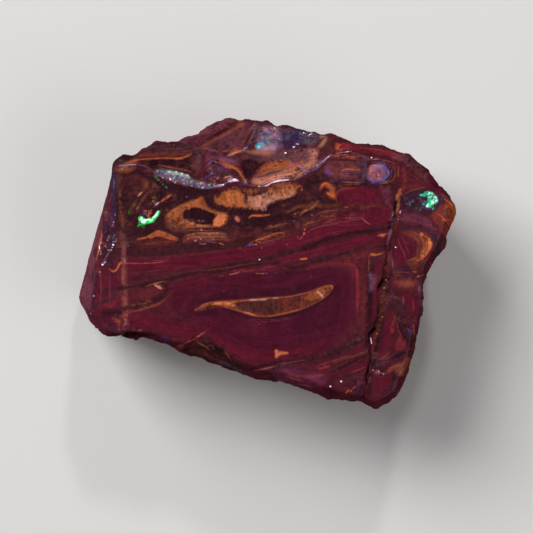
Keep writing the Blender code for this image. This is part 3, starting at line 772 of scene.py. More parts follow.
# %% Washes on the blue potch and the right of the brow
pool("mist", 8, 0.8, (261, 126), (270, 124), (281, 127), (282, 138), (282, 148), (272, 150), (262, 149),
    (258, 140))
wash("peach", 3, 0.6, (264, 127, 1.4), (268, 126, 1.6), (276, 128, 2), (275, 134, 1.6))
wash("pale", 4, 0.5, (258, 148, 1), (266, 147, 1.6), (274, 147, 1.6))
wash("steel", 4, 0.6, (260, 131, 1), (268, 137, 2), (262, 142, 1.6), (274, 141, 1.4))
wash("pale", 3, 0.4, (266, 129, 1.6), (272, 131, 1.6), (276, 127, 1))
wash("cream", 4, 0.35, (268, 136, 1.4), (273, 144, 1.6), (266, 148, 1.6))
pool("navy", 6, 0.9, (283, 128), (294, 126), (303, 128), (308, 134), (304, 143), (297, 147), (287, 148),
    (283, 142))
wash("navy", 4, 0.5, (306, 132, 1.6), (314, 134, 2), (308, 141, 2))
pool("steel", 4, 0.7, (303, 131), (312, 130), (320, 134), (318, 142), (308, 146), (302, 142))
wash("steel", 4, 0.6, (285, 130, 2), (291, 131, 3), (287, 137, 2))
wash("steel", 3, 0.4, (300, 132, 2), (303, 138, 2))
wash("cream", 4, 0.5, (322, 136, 1.6), (327, 136, 1.2), (324, 142, 1.8), (320, 146, 1.2))
wash("olive", 4, 1, (329, 137, 1.6), (332, 142, 3), (328, 148, 3), (322, 152, 2))
wash("orange", 3, 0.8, (337, 144, 1), (337, 148, 1.6), (341, 151, 1.2))
wash("oxblood", 3, 1, (343, 144, 2), (346, 147, 3), (352, 147, 2))
wash("maroon", 8, 0.9, (352, 146, 3), (370, 151, 3), (400, 158, 5), (425, 180, 6), (440, 192, 3))
wash("clay", 3, 0.5, (372, 147, 1.2), (386, 151, 1.6), (396, 155, 1.2))
wash("umber", 4, 0.7, (352, 140, 1.4), (368, 146, 1.4), (386, 148, 1.4))
wash("dusk", 6, 0.8, (396, 156, 3), (408, 160, 4), (418, 170, 4), (424, 178, 3))
wash("rose", 4, 0.35, (386, 152, 2), (402, 158, 2))

# %% Washes on the sawn left edge
pool("mauve", 6, 1, (62, 310), (80, 250), (96, 212), (102, 214), (96, 262), (92, 300), (86, 316))
pool("ash", 5, 0.9, (110, 166), (118, 168), (118, 260), (108, 268), (100, 264), (102, 230), (104, 200),
    (108, 184))
wash("fig", 4, 0.7, (107, 186, 1.6), (106, 202, 2.6), (107, 216, 2))
wash("navy", 4, 0.6, (113, 178, 1), (112, 190, 1.6), (113, 204, 1.4), (112, 218, 1.8), (108, 228, 2.6),
    (107, 236, 2.4), (112, 240, 1.6))
wash("oxblood", 3, 0.4, (108, 176, 1), (110, 197, 1), (109, 211, 1.2), (112, 232, 1), (106, 244, 1.4))
wash("soot", 3, 0.8, (117, 196, 0.8), (117, 216, 1), (116, 232, 1.4), (104, 222, 1), (111, 233, 1.4))
wash("oxblood", 2.5, 0.7, (113, 221, 0.8), (114, 228, 1.1))
wash("ochre", 2.5, 0.7, (102, 212, 0.7), (106, 212, 1.3))
wash("umber", 3, 0.8, (110, 256, 3), (112, 264, 2.4))
wash("clay", 4, 0.5, (120, 232, 1), (120, 246, 1.4), (121, 256, 1.6))
wash("steel", 4, 0.35, (124, 236, 1.6), (125, 250, 1.6))
wash("flesh", 3, 0.8, (120, 250, 0.8), (123, 250, 1.2))
wash("clay", 4, 0.4, (121, 232, 1), (123, 244, 1.6), (124, 256, 1.4))
wash("tan", 5, 0.85, (124, 236, 0.4), (124, 246, 1), (124, 254, 1.4), (124, 266, 2.2), (124, 285, 2.4),
    (125, 305, 2.4), (125, 326, 1.8))
wash("salmon", 2.5, 0.3, (123, 256, 0.6), (123, 270, 0.9), (123, 284, 0.6))
wash("khaki", 2.5, 0.7, (122, 284, 0.8), (122, 296, 1), (122, 310, 0.9))
wash("khaki", 2.5, 0.6, (127, 280, 0.8), (127, 290, 0.8))
wash("salmon", 2.5, 0.45, (124, 296, 0.7), (126, 306, 0.9), (126, 316, 1.4), (125, 324, 0.8))
wash("lilac", 3, 0.4, (124, 322, 1.4), (125, 330, 1.2))

# %% Washes low on the left edge
pool("maroon", 4, 0.9, (97, 276), (118, 274), (119, 308), (104, 312), (92, 318), (92, 300))
wash("grape", 4, 0.7, (96, 276, 2), (94, 290, 2.4), (92, 304, 2))
wash("grape", 3, 0.7, (109, 276, 1.2), (110, 286, 1.8), (109, 294, 1))
wash("ash", 4, 0.9, (116, 290, 1.4), (114, 297, 2), (108, 300, 2), (98, 303, 1.6), (92, 309, 2.4))
wash("coral", 3, 0.5, (104, 305, 1), (110, 307, 2), (114, 303, 1.6))
pool("plum", 5, 1, (94, 316), (106, 312), (120, 309), (122, 328), (112, 336), (100, 332))
wash("soot", 3, 0.95, (100, 313, 1), (110, 314, 1.6), (117, 312, 2), (121, 313, 1.4))
wash("ash", 3, 0.9, (107, 325, 2), (113, 330, 3), (118, 333, 1.6))
wash("ochre", 3, 0.75, (113, 318, 0.8), (117, 321, 1.4), (119, 324, 1), (121, 317, 1.2))
wash("rust", 2.5, 0.7, (119, 327, 0.7), (119, 331, 1))
wash("heather", 4, 0.6, (99, 319, 1.6), (104, 326, 2))
wash("soot", 3, 0.9, (95, 264, 0.8), (93, 271, 1.8), (91, 278, 1.6), (90, 283, 0.8))

# %% Where the stone is glassy
opalise(6, 1, (256, 128, 4), (266, 136, 8), (262, 146, 4))
opalise(6, 0, (284, 132, 4), (296, 136, 8), (308, 134, 4))
opalise(4, 1, (158, 172, 1.5), (172, 175, 3), (190, 181, 4), (206, 185, 2), (218, 186, 1))
opalise(5, 0, (208, 170, 3), (218, 174, 5), (228, 178, 2))
opalise(4, 1, (300, 176, 1), (314, 168, 3), (326, 158, 2), (334, 154, 1))
opalise(4, 1, (326, 162, 1.6), (328, 172, 2.6))
opalise(4, 0, (370, 166, 2), (380, 165, 3), (386, 172, 3), (378, 180, 2), (370, 178, 2))
opalise(5, 1, (406, 202, 3), (420, 203, 6), (434, 200, 7), (441, 203, 3))
opalise(4, 1, (372, 275, 2), (374, 285, 3))
opalise(3, 1, (374, 371, 1.6), (379, 373, 1.6), (384, 375, 1))
opalise(4, 0, (283, 374, 4), (306, 378, 5))
print("ground colours laid")

# %% [markdown]
# ## Bands
#
# Dark and rusty bands run from the left edge to the crack. Round the lens they close into
# rings, because the mud there shrank and the iron moved outwards in fronts.

# %% Dark and rusty bands
bands = Coat("bands", 30)
band = bands.line
band("umber", 4.5, (96, 253), (150, 253), (175, 250), (200, 247), (228, 245), (252, 241), taper=False)
band("umber", 2.3, (100, 292), (130, 287), (150, 284), (165, 280), (180, 277), (200, 271), (220, 267),
    (240, 264), (258, 262), (270, 258), (285, 253), (300, 249), (315, 244), (330, 240), (350, 235),
    (370, 231), (392, 227), taper=False)
band("umber", 2, (262, 264), (275, 263), (283, 263), (290, 267), (298, 268), (305, 265), (320, 260),
    (335, 256), (350, 252), (365, 249), (386, 246))
band("soot", 1.6, (296, 251.6), (304, 249.6), (312, 246), (320, 241.4), (330, 238.6), (340, 235.6),
    (352, 232.4), (366, 231.4), (380, 230.4), (390, 227))
band("ash", 0.9, (300, 262), (318, 258.4), (328, 256.6), (344, 252.4), share=0.6)
band("soot", 1.2, (104, 291), (132, 286), (160, 281), (182, 276), (206, 270), (230, 265.6), (256, 262.4),
    share=0.7)
band("olive", 1.1, (129, 283), (145, 281), (160, 278), (175, 274), (190, 271), (205, 268), (222, 265))
band("umber", 1, (200, 271), (215, 271.5), (228, 270.5), (240, 267.5), (262, 265.5))
band("umber", 2.2, (158, 281), (165, 283), (168, 288), (168, 293), (165, 299), (158, 303), (145, 306.5),
    (128, 308), (100, 310))
band("rust", 1.2, (126, 313), (140, 310), (152, 306.5), (162, 303), (169, 297), (172, 290), share=0.6)
band("coral", 1.2, (345, 263.6), (352, 264.4), (356, 267), (357.6, 274), (357.8, 288), (357.6, 302),
    (356.6, 318))
band("umber", 1.2, (318, 358.6), (332, 354), (344, 349), (356, 344), (367, 337))
band("soot", 1.2, (328, 373), (340, 368), (352, 362.6), (366, 356))
band("soot", 1, (340, 378), (352, 374), (366, 369), share=0.7)
band("soot", 1.2, (250, 369), (262, 365.6), (280, 361.6), (300, 361), share=0.7)
band("soot", 1.4, (163.4, 283), (166.6, 287), (166.4, 293), (162, 298), (154, 301), share=0.7)
band("soot", 1.2, (396.6, 318), (399, 328), (404, 336), (410, 344))
band("soot", 1.2, (384, 362), (394, 358), (402, 353.6), (412, 351))
band("umber", 1.4, (404, 168), (414, 173), (426, 183), (440, 196), share=0.6)

# %% Broader layers between them
band("brick", 3.4, (340, 257.5), (356, 256.5), (367, 254.5), (384, 252))
band("soot", 2.4, (130, 244), (150, 241), (165, 238), (176, 240), (180, 246), share=0.5)
band("soot", 3.2, (205, 206), (222, 210), (245, 208), (258, 209), (275, 205), (290, 199), (298, 194),
    share=0.75)
band("soot", 3, (150, 178), (165, 186), (185, 190), (205, 192), (220, 190), share=0.6)
band("soot", 2.6, (140, 205), (158, 210), (168, 205), (180, 198), share=0.55)
band("soot", 4, (236, 225), (258, 222), (280, 220), (300, 214), share=0.5)
band("umber", 2.6, (160, 232), (175, 233), (205, 231), (240, 231), (262, 227), share=0.7)
band("brick", 2, (300, 226), (320, 214), (345, 206), (378, 204), share=0.5)
bands.area("maroon", (339, 190), (352, 187), (378, 188), (386, 192), (388, 200), (378, 203), (356, 204),
    (340, 203), (335, 197))
bands.area("maroon", (318, 221), (330, 216), (345, 210), (362, 210), (380, 206), (390, 205), (390, 216),
    (370, 219), (350, 217), (338, 221), (325, 225), share=0.8)
band("maroon", 2, (272, 261), (290, 258), (312, 251), (335, 245), (360, 239), (388, 235))
band("tan", 2, (124, 246), (124, 259), taper=False, share=0.75)
band("mauve", 3, (380, 184), (384, 194), (388, 205), share=0.6)

# %% Bands and layers on the brow and right of the crack
band("oxblood", 3.2, (346, 146), (356, 147), (370, 151), (385, 152), (400, 157), share=0.7)
band("umber", 1.4, (360, 152), (380, 158), (404, 164), (420, 178), share=0.6)
band("brick", 1.6, (400, 160), (416, 170), (430, 184), (442, 196), share=0.7)
band("brick", 2, (402, 182), (414, 186), (432, 186), share=0.6)
bands.keep(stone)

# %% [markdown]
# ## Filled patches
#
# Where the ironstone cracked as it dried, paler iron clay and poor opal filled the gaps.
# The long lens in the middle is the largest filling, with a bright skin round a speckled
# core. The ochre patch, the eye on the left and the opal seam are others.

# %% Patches on the show face
patches = Coat("patches", 3)
patch = patches.area
patch("sienna", (193, 311), (200, 306.5), (206, 303), (215, 301.3), (230, 301.2), (250, 299.3), (270, 297.5),
    (288, 296.5), (300, 294), (310, 291.5), (320, 287.6), (327, 285), (333, 284.8), (333.5, 288), (329, 294),
    (323, 298.8), (316, 303), (308, 307), (298, 310.6), (286, 313.4), (276, 315.6), (266, 317), (256, 316.6),
    (247, 314), (238, 310.5), (229, 308), (221, 306.8), (213, 307.5), (204, 310), rag=0.12)
patch("gold", (213, 199), (218, 196), (224, 192), (230, 190), (238, 189), (243, 192), (245, 198), (243, 203),
    (248, 205), (247, 208.4), (233, 207.6), (224, 206.4), (217, 203))
patch("ochre", (231, 187.5), (245, 188.5), (258, 187.5), (270, 185.5), (283, 183.5), (298, 185), (299, 188),
    (286, 188), (272, 189), (262, 191.5), (254, 193.5), (245, 192.5), (236, 190.5), rag=1.2)
patch("peach", (247.6, 197.6), (254, 196), (262, 193.6), (272, 190.4), (284, 189), (295, 187), (295, 191),
    (293.6, 195.6), (284, 198.6), (276, 201.4), (266, 205.4), (262.6, 210), (254, 209.6), (250, 206),
    (247.6, 202), rag=0.9)
patch("gold", (266, 192.6), (272, 187), (284, 184), (296, 185.6), (294, 192), (286, 195), (276, 195.6),
    rag=0.4, share=0.75)
patch("ochre", (164, 221), (166, 214), (172, 209.5), (180, 205.5), (190, 202), (197, 198), (202, 196.5),
    (204.5, 201), (208, 207), (216, 211), (226, 212.5), (228.5, 217), (224, 226), (214, 227.5), (204, 227),
    (196, 229.5), (186, 231), (176, 228), (167, 225), rag=0.5)
patch("khaki", (164, 218), (170, 217), (176, 220), (183, 225), (192, 227), (208, 227), (198, 231),
    (184, 233), (172, 231), (165, 226), share=0.85)
patch("umber", (205, 213), (210, 213.6), (214, 217), (211, 222), (214, 227), (208, 226.6), (208, 219),
    share=0.7, rag=0.6)
patch("khaki", (203, 199), (206, 204), (213, 208.6), (222, 211.4), (214, 213), (206, 210), (201, 205),
    share=0.6, rag=0.5)
patch("soot", (182.4, 214.6), (185, 209.6), (194, 207.6), (206, 209), (214.6, 213), (217, 218), (213.6, 224),
    (205, 226), (197, 224.4), (189, 222.6), (183.6, 219), rag=0.08)
patches.line("salmon", 1.9, (236.6, 218), (238, 220), taper=False, rag=0.3)
patches.line("khaki", 1.5, (187, 220), (196, 222), (205, 222.6), share=0.5, rag=0.6)
patch("amber", (213.6, 219), (218, 215.4), (225, 214), (227, 218), (223, 225.6), (215, 227), (211.6, 223),
    rag=0.5, share=0.7)
patch("clay", (199, 233), (214, 231.4), (228, 233.4), (224, 236.6), (210, 235.6), (202, 237), share=0.7,
    rag=0.7)

# %% Patches at the upper right and low on the face
patch("tan", (322, 171), (324, 164), (332, 160), (345, 160), (358, 161.6), (361, 168), (360, 176),
    (350, 179), (336, 178.6), (326, 175), rag=0.6, share=0.55)
patch("slate", (360, 156), (366, 158), (367, 166), (368, 178), (362, 180), (359, 170), rag=0.2)
patch("lilac", (367, 181), (368, 174), (368.6, 165.6), (377, 163.4), (383.4, 165), (386, 171), (386, 177),
    (379, 181.6), rag=0.2, share=0.9)
patch("salmon", (369, 168), (373, 165.6), (376, 168), (373, 171), (371, 176), (369, 174), share=0.8)
patch("salmon", (377, 173), (382, 172), (384, 176), (379, 179.6), (375, 178), share=0.7)
patches.line("amber", 1, (276.2, 351), (276.6, 353.6), (276.4, 356.4), taper=False, rag=0.15)
patches.line("amber", 0.9, (277, 353.2, 1.6), (281, 353.3, 1.2), (287.4, 353, 0.5), taper=False, rag=0.15)
patch("gold", (304, 295.6), (312, 292.6), (320, 289), (327, 286.4), (331, 287.4), (327, 293), (320, 298),
    (311, 301.6), (304, 301), share=0.5, rag=0.6)
patch("olive", (234, 303.4), (244, 301.6), (258, 300.6), (272, 300), (281, 300.4), (281, 306), (277, 311),
    (268, 313.4), (257, 312.6), (248, 310), (240, 307.4), rag=0.4)
patches.line("rust", 1.8, (242, 305), (252, 304.4), share=0.5, rag=0.5)
patch("tan", (176.4, 346.4), (181, 344.4), (184, 345), (182, 348), (178, 350), rag=0.2)

# %% Patches right of the crack
patch("amber", (420, 232.6), (423, 233), (423.6, 236.6), (420.4, 237), rag=0.2)
patch("amber", (424.6, 241), (429, 239.6), (432.4, 242), (431.4, 247), (426.6, 251.6), (421.6, 258.4),
    (420, 256), (425, 249), (427.4, 245.6), rag=0.25)
patches.line("khaki", 1.6, (406, 262), (412, 265), (420, 263))
patch("ochre", (411, 272), (414, 270.6), (416.6, 271.4), (415, 273.4), rag=0.2)
patch("clay", (397, 281), (404, 279.4), (413, 281), (414, 284.6), (407, 288), (400, 286), rag=0.9,
    share=0.6)
patch("ochre", (406, 357.6), (409.6, 358), (409, 361), (405, 361), rag=0.2)
patch("rust", (388, 369), (394, 366), (401, 363), (402, 365), (394, 369), (389, 372), rag=0.3)
patch("ochre", (446, 203), (451, 203), (455, 208), (453, 216), (447, 218), (443, 211), rag=0.5, share=0.8)
patches.line("coral", 1.2, (393, 313), (393.6, 322), (392.6, 332))

# %% Patches on the brow: the opal seam, the peach slope and the blue potch
patch("steel", (153, 171), (159, 168.4), (168, 168.6), (178, 171), (188, 173.6), (192, 179), (201, 182.6),
    (212, 183.6), (220, 184), (214, 187.6), (203, 188.6), (190, 185.6), (178, 182), (166, 178.6),
    (156, 175.6), rag=0.2)
patch("mint", (165, 170), (176, 171.4), (185, 174), (190.6, 178), (184, 178), (174, 175), (166, 174),
    share=0.9, rag=0.5)
patch("aqua", (255, 144.4), (259, 141.6), (262.4, 142), (264.6, 144.6), (262, 147.4), (258, 149),
    (255.6, 147), rag=0.15)
patch("soot", (242, 161), (249, 158.6), (258, 161), (262, 164), (256, 168), (251, 175), (246, 176),
    (243, 169), rag=0.6, share=0.85)
patch("soot", (230.6, 167.6), (235, 169), (239.6, 173.4), (237, 174.6), (232, 171.6), rag=0.2, share=0.8)
patch("coral", (338, 144), (343, 141.4), (351, 142.6), (352, 146.6), (347, 150), (340, 149.6), rag=0.8,
    share=0.9)
patches.keep(stone)

# %% [markdown]
# ## Veins, specks, painted highlights and fire
#
# Thin veins of iron and clay follow the layers, and the rim of every filling is
# brighter than its middle. Specks are grains of clay, quartz or opal. The white specks
# and lines, and some pale ones, on the rims, the chips and the crack's lips are painted
# highlights, where those edges glint in the light. The fire of precious opal has no
# pigment: it is light bent back by stacked silica spheres, bright only at some angles.
# A painted finish can't bend light like that, so a little emission keeps the two green
# flashes alive from any side: they are painted light that glows.

# %% Veins round the lens
seams = Coat("seams", 2.5)
veins_and_highlights = Coat("veins_and_highlights", 2.5)
seam, vein_or_highlight = seams.line, veins_and_highlights.line
LENS_TOP = (
    (195, 310.5), (200, 306.8), (205, 303.8), (213, 301.8), (230, 301.6), (250, 299.8), (270, 298),
    (288, 297), (300, 294.5), (310, 292), (320, 288), (327, 285.6), (333, 285.4),
)
LENS_FOOT = (
    (222, 306.4), (230, 308), (240, 311), (249, 314), (258, 316.2), (268, 316.2), (278, 314.8),
    (288, 312.6), (300, 309.4), (310, 305.4), (318, 301), (325, 296.6), (330, 292), (333, 287),
)

vein_or_highlight("gold", 0.6, *LENS_TOP[:7], taper=False)
vein_or_highlight("gold", 0.45, *LENS_TOP[6:], taper=False)
vein_or_highlight("gold", 0.7, *LENS_FOOT[:6])
vein_or_highlight("gold", 0.6, *LENS_FOOT[5:9], taper=False)
vein_or_highlight("clay", 0.6, *LENS_FOOT[8:], taper=False)
vein_or_highlight("orange", 0.5, (326, 286), (330, 285.6), (332.6, 286), (331.6, 289.6), (329, 293))
vein_or_highlight("gold", 1.3, (210, 304.6), (217, 303.6), (226, 304.4), (234, 306.6))
vein_or_highlight("clay", 1.2, (196, 309.6), (203, 306.4), (210, 304.6))
vein_or_highlight("amber", 0.9, (214, 303.4), (222, 303.2), (231, 303.4), (236, 306.6))
vein_or_highlight("amber", 0.7, (243, 311.4), (250, 313.6), (256, 315.4))
vein_or_highlight("cream", 0.9, (250, 300), (258, 299.6), (265.4, 299.2), taper=False)
vein_or_highlight("cream", 0.6, (272, 298.6), (276, 298.2), (280, 298.2))
vein_or_highlight("flesh", 1.3, (317.8, 291.6), (319.8, 293.4), (322.6, 296.6), taper=False)
vein_or_highlight("ochre", 0.6, (322, 288.4), (326, 290.6), (328.6, 288.6))
seam("soot", 0.8, (206, 309.6), (222, 308.6), (236, 312.6), (247, 317), (260, 319.4), (276, 318),
    (290, 315.4), (304, 310.6), (316, 305), (326, 299), (332, 293), (334.6, 288))
seam("rose", 0.45, (248, 320.6), (262, 322.2), (280, 320.6), (298, 316), share=0.35)
seam("soot", 0.7, (196, 306), (204, 301), (214, 298.8), (240, 297), (262, 295.8), (290, 293.6), (308, 289.6),
    (322, 283), (334, 283), share=0.7)

# %% Veins on the left of the face, and the moss green ones
vein_or_highlight("gold", 1.1, (167, 215), (172, 211), (180, 207.4), (189, 204.4), (198, 200.4), (201.6, 198.4))
vein_or_highlight("gold", 1.3, (190, 206), (197, 205), (204, 208), (212, 212), (220, 213.6), share=0.7)
vein_or_highlight("gold", 0.9, (172, 219), (178, 213.6), (183, 209.6), share=0.7)
vein_or_highlight("clay", 0.8, (167, 221), (175, 226), (185, 228), (196, 226.4), (206, 227.6), (216, 226))
vein_or_highlight("sand", 0.6, (184, 220.5), (192, 223.6), (201, 225.6), (208, 226.6))
vein_or_highlight("gold", 0.7, (176, 222), (184, 224.4), (192, 226.4), (200, 228), share=0.6)
seam("soot", 0.6, (182, 230.6), (192, 228), (200, 228.4), (208, 229.6))
seam("umber", 0.7, (169, 215), (174, 217), (171, 221), (177, 223))
seam("umber", 0.6, (176, 217), (181, 220), (188, 223.4), (196, 225))
seam("umber", 0.6, (166, 223), (173, 224), (178, 226.6), (186, 229))
seam("umber", 0.8, (204, 208.6), (211, 211.6), (218, 213.6), (214, 217))
seam("umber", 0.5, (184, 225.6), (188, 224), (196, 227))
vein_or_highlight("moss", 1.1, (128.4, 214.4), (129.6, 211), (131.6, 207.6), share=0.95)
vein_or_highlight("moss", 0.7, (132.4, 206.4), (133.4, 204), (134.6, 201.4), share=0.7)
vein_or_highlight("moss", 1.1, (153, 198), (154.6, 196.8), taper=False)
vein_or_highlight("moss", 0.9, (419.6, 210), (420.4, 209.6), taper=False)
vein_or_highlight("orange", 1.2, (160.6, 201.8), (164, 199.4), (168, 196.6), (171.6, 194.8))
vein_or_highlight("flesh", 0.9, (137.6, 196.4), (140, 194), (142.6, 191.6))
vein_or_highlight("gold", 1.3, (137, 239.4), (146, 237.6), (153, 234.4), (158, 230.8), (164, 233), (172, 236),
    (178, 238.6), share=0.95)
vein_or_highlight("orange", 1.4, (150, 238.6), (157, 234.4), (163, 235.6), (171, 238.6), (177, 240.6), share=0.7)
vein_or_highlight("sand", 0.6, (186, 235), (196, 233), (212, 232.6), (226, 234), share=0.45)
vein_or_highlight("sand", 0.5, (187, 238), (198, 237.4), (216, 236.6), (228, 238), share=0.4)
seam("umber", 0.6, (186, 243), (200, 242), (212, 240.6), (226, 243))
seam("umber", 0.5, (184, 246), (200, 246), (218, 246.4), (232, 245))
vein_or_highlight("pale", 0.5, (199.6, 243.8), (204.6, 244.2))
vein_or_highlight("lilac", 0.4, (206, 241.6), (212, 242), (217, 242.8))
vein_or_highlight("sand", 0.6, (219, 242.6), (221, 243.8), (223.6, 244.8))
seam("soot", 0.9, (181, 236), (182, 243), (180, 252))

# %% Veins in the upper middle of the face
seam("soot", 0.8, (245.6, 195), (254, 195.6), (261, 192.6), (268, 190.4))
seam("umber", 1, (244.6, 191), (245.6, 198), (244.4, 204), share=0.7)
seam("umber", 0.5, (262, 198), (270, 199.6), (278, 198), share=0.4)
vein_or_highlight("orange", 1, (249, 219), (249.4, 216.6), (253, 215.2), (259, 216), (270, 214.6))
seam("soot", 0.7, (250, 221), (260, 219.6), (272, 217))
vein_or_highlight("clay", 0.8, (265, 228.6), (272, 227.4), (279, 225), (285, 223.4))
vein_or_highlight("ochre", 0.5, (268, 225.6), (276, 224.4))
seam("soot", 0.9, (262, 232), (272, 230.6), (286, 231), share=0.7)
vein_or_highlight("orange", 0.6, (249, 243.4), (257, 239.8), (266, 237.2), (274, 234), (280, 232.2), (285, 233.6))
vein_or_highlight("clay", 0.5, (246, 246), (256, 243.6), (266, 242), (276, 239), (284, 237))
vein_or_highlight("ochre", 0.8, (300, 216), (303, 211.4), (309, 209.6), (316, 205), (317.6, 200.6))
vein_or_highlight("ochre", 0.6, (303, 226), (309, 222.6), (315, 222))
vein_or_highlight("clay", 0.6, (320, 212), (328, 210.4), (338, 210.6))
vein_or_highlight("clay", 0.5, (320, 217), (330, 216.2), (336, 214.6))
vein_or_highlight("clay", 0.7, (324, 223), (330, 221), (337, 218.4), share=0.7)
vein_or_highlight("rust", 0.6, (313, 216.6), (321, 212.6), (329, 212), share=0.7)
vein_or_highlight("ochre", 0.5, (350, 213.6), (356, 212.6))
seam("umber", 0.8, (312, 222), (326, 214.6), (342, 212.6), (356, 210))
seam("soot", 0.6, (340, 214.6), (352, 214), (362, 209), share=0.6)

# %% Faint rose veins along the layers
vein_or_highlight("rose", 0.6, (295, 235.6), (298, 237.4), (300, 240), (302.4, 236.6), (304.4, 233.8))
vein_or_highlight("rose", 0.6, (304.6, 233.8), (312, 229.2), (320, 226.4), (333, 224.6), (342, 221.4), (350, 220.6),
    (361, 219.4), share=0.6)
vein_or_highlight("rose", 0.5, (342, 218.8), (350, 217.2), (362, 217.6), share=0.55)
vein_or_highlight("rose", 0.4, (338, 226), (350, 224.6), (362, 225), share=0.4)
vein_or_highlight("salmon", 0.35, (359, 220), (362.6, 218.4), (365, 221), (367.4, 223), (370, 224.4))
vein_or_highlight("rose", 0.4, (362, 218), (364, 214.4))
FAINT_LAYERS = (
    ((126, 262), (180, 257), (243, 248.4)),
    ((140, 258), (190, 254.6), (232, 249)),
    ((126, 274), (175, 268), (196, 265.4)),
    ((275, 259.4), (312, 250.4), (372, 237.6)),
    ((250, 249), (285, 240.8), (310, 232.6)),
    ((300, 243), (330, 233), (350, 229)),
    ((130, 300), (150, 297), (168, 287)),
    ((284, 262), (312, 256), (336, 249)),
)
for k, layer in enumerate(FAINT_LAYERS):
    vein_or_highlight("rose", 0.5, *layer, share=0.15 + 0.04 * (k % 3))

# %% Veins at the upper right, round the lilac patch
vein_or_highlight("orange", 0.9, (321, 188), (321.6, 184.8), (326, 183), (330.6, 184.8))
vein_or_highlight("orange", 1.2, (326, 192), (329, 194.6), (333, 195.4), (336, 198))
vein_or_highlight("rust", 0.9, (337, 203), (336, 196), (338, 190.6), (344, 188.4), (356, 188), share=0.7)
vein_or_highlight("ochre", 0.7, (342, 181.8), (350, 182.4), (362, 182.6))
vein_or_highlight("ochre", 0.7, (380, 183.6), (388, 182.4), (394, 179.6))
seam("navy", 0.8, (322, 176), (330, 177.8), (341, 179.8), (353, 180), (362, 181), (370, 183), (377, 183.6))
seam("umber", 0.7, (342, 184.6), (358, 185.6), (376, 185.4))
seam("soot", 0.6, (326, 159.4), (335, 160.4), (346, 160), (358, 161.4))
vein_or_highlight("orange", 0.4, (331, 156.4), (344, 155.6), (358, 158.2))
vein_or_highlight("clay", 0.4, (336, 158.4), (348, 158), (357, 159.8))
vein_or_highlight("ochre", 0.8, (398.6, 166), (398.6, 177))
vein_or_highlight("orange", 1.1, (396, 199), (398, 195), (400.6, 189))
vein_or_highlight("iris", 1.1, (372, 164.4), (379, 163.4), (384, 165.6), (388, 170.4), (389.2, 174), (385.6, 178),
    (378, 182), (371.5, 183))
vein_or_highlight("iris", 0.9, (383, 165.6), (386.6, 169), (388, 173), taper=False)
vein_or_highlight("clay", 0.5, (391.4, 164), (395.4, 169.6), (395.6, 176), (392, 181.6))
seam("umber", 0.6, (390, 163.6), (393.4, 169), (393.4, 176.6), (390, 181))
seam("umber", 0.7, (368, 161.8), (380, 161), (390, 164), (397.4, 171), (397, 178.6), share=0.7)
vein_or_highlight("clay", 0.6, (366, 159.8), (378, 158.8), (390, 161.6), (397, 164))
vein_or_highlight("orange", 0.6, (341, 171), (346, 168.6), (352, 169.8), (359, 170.4), share=0.95)
vein_or_highlight("clay", 0.6, (334, 174.4), (342, 175.4), (352, 176.4))
vein_or_highlight("ochre", 0.5, (352, 166.6), (358, 168.4), (360.6, 170))
seam("navy", 0.9, (343.6, 172), (350, 173.2), (356, 174.6), (361, 173), share=0.95)
seam("slate", 0.7, (352, 165), (354.6, 163), (357.6, 165), (355, 167.4), (352.4, 166))
vein_or_highlight("flesh", 0.7, (370, 166), (376, 165), (381, 167.6), share=0.7)
vein_or_highlight("orange", 1.2, (370, 179), (374, 177), (372, 173.6), share=0.7)
vein_or_highlight("lilac", 1, (371.6, 168.4), (375, 169.6))
seam("umber", 0.5, (370, 173.4), (376, 172.6), (377, 178), (380, 176), (384, 178))
seam("umber", 0.5, (376, 172), (380, 170.4), (382, 172.6))
seam("umber", 0.7, (378, 186), (380.4, 191), (382.4, 198), (385, 205))
for k in range(3):
    seam("plum", 0.5, (385 + 2.6 * k, 187), (386 + 2 * k, 197), (387 + 2 * k, 206), share=0.6)
vein_or_highlight("orange", 0.8, (377, 236), (381, 234.6), (384, 234.8), (388.6, 233))
vein_or_highlight("flesh", 0.6, (382, 237), (386, 236), share=0.7)

# %% Veins low on the face and near its ends
vein_or_highlight("gold", 0.8, (369, 255.4), (372, 254), (376, 255), (380, 254), (384.6, 253))
vein_or_highlight("orange", 1.1, (371.6, 254.2), (374.6, 255), taper=False)
vein_or_highlight("ochre", 0.5, (368.4, 257), (369, 264), (368.4, 272), share=0.7)
vein_or_highlight("salmon", 0.45, (122, 263.8), (134, 263.4), (148, 263.2), (160, 262.6), (168, 260.4), share=0.6)
vein_or_highlight("clay", 0.7, (128, 312.8), (138, 310.4), (150, 306.8), (160, 303), (166, 298), share=0.7)
vein_or_highlight("ochre", 0.5, (145, 287), (151, 284.6), (158, 282), (167, 281))
vein_or_highlight("flesh", 1.1, (155.8, 285.6), (158.4, 286.8), (161, 288.6), taper=False)
vein_or_highlight("ochre", 0.7, (143, 304), (147, 303.6))
vein_or_highlight("salmon", 0.8, (183, 344.4), (188, 342), (194, 339.4), (199, 336), (205, 331.6))
vein_or_highlight("lilac", 0.7, (187.4, 342), (191.4, 340.8))
vein_or_highlight("coral", 0.4, (206, 330.8), (212, 326.4), share=0.6)
vein_or_highlight("ochre", 0.8, (197, 341.6), (201, 344.4), (206, 346.6), (210, 350.6))
vein_or_highlight("ochre", 0.6, (224, 351), (227, 354), (230, 358.6))
vein_or_highlight("clay", 0.6, (203, 352), (206, 355.6), (209, 358))
vein_or_highlight("lilac", 0.5, (208, 345), (213.6, 346), (214, 349.4))
seam("soot", 0.7, (184, 351), (194, 347), (204, 349), (212, 356), (224, 361))
seam("soot", 0.6, (247, 370.6), (254, 367.4), (262, 366))
vein_or_highlight("salmon", 0.5, (255, 370.6), (262, 369.4), (270, 367.6), (274.6, 366.4), share=0.7)
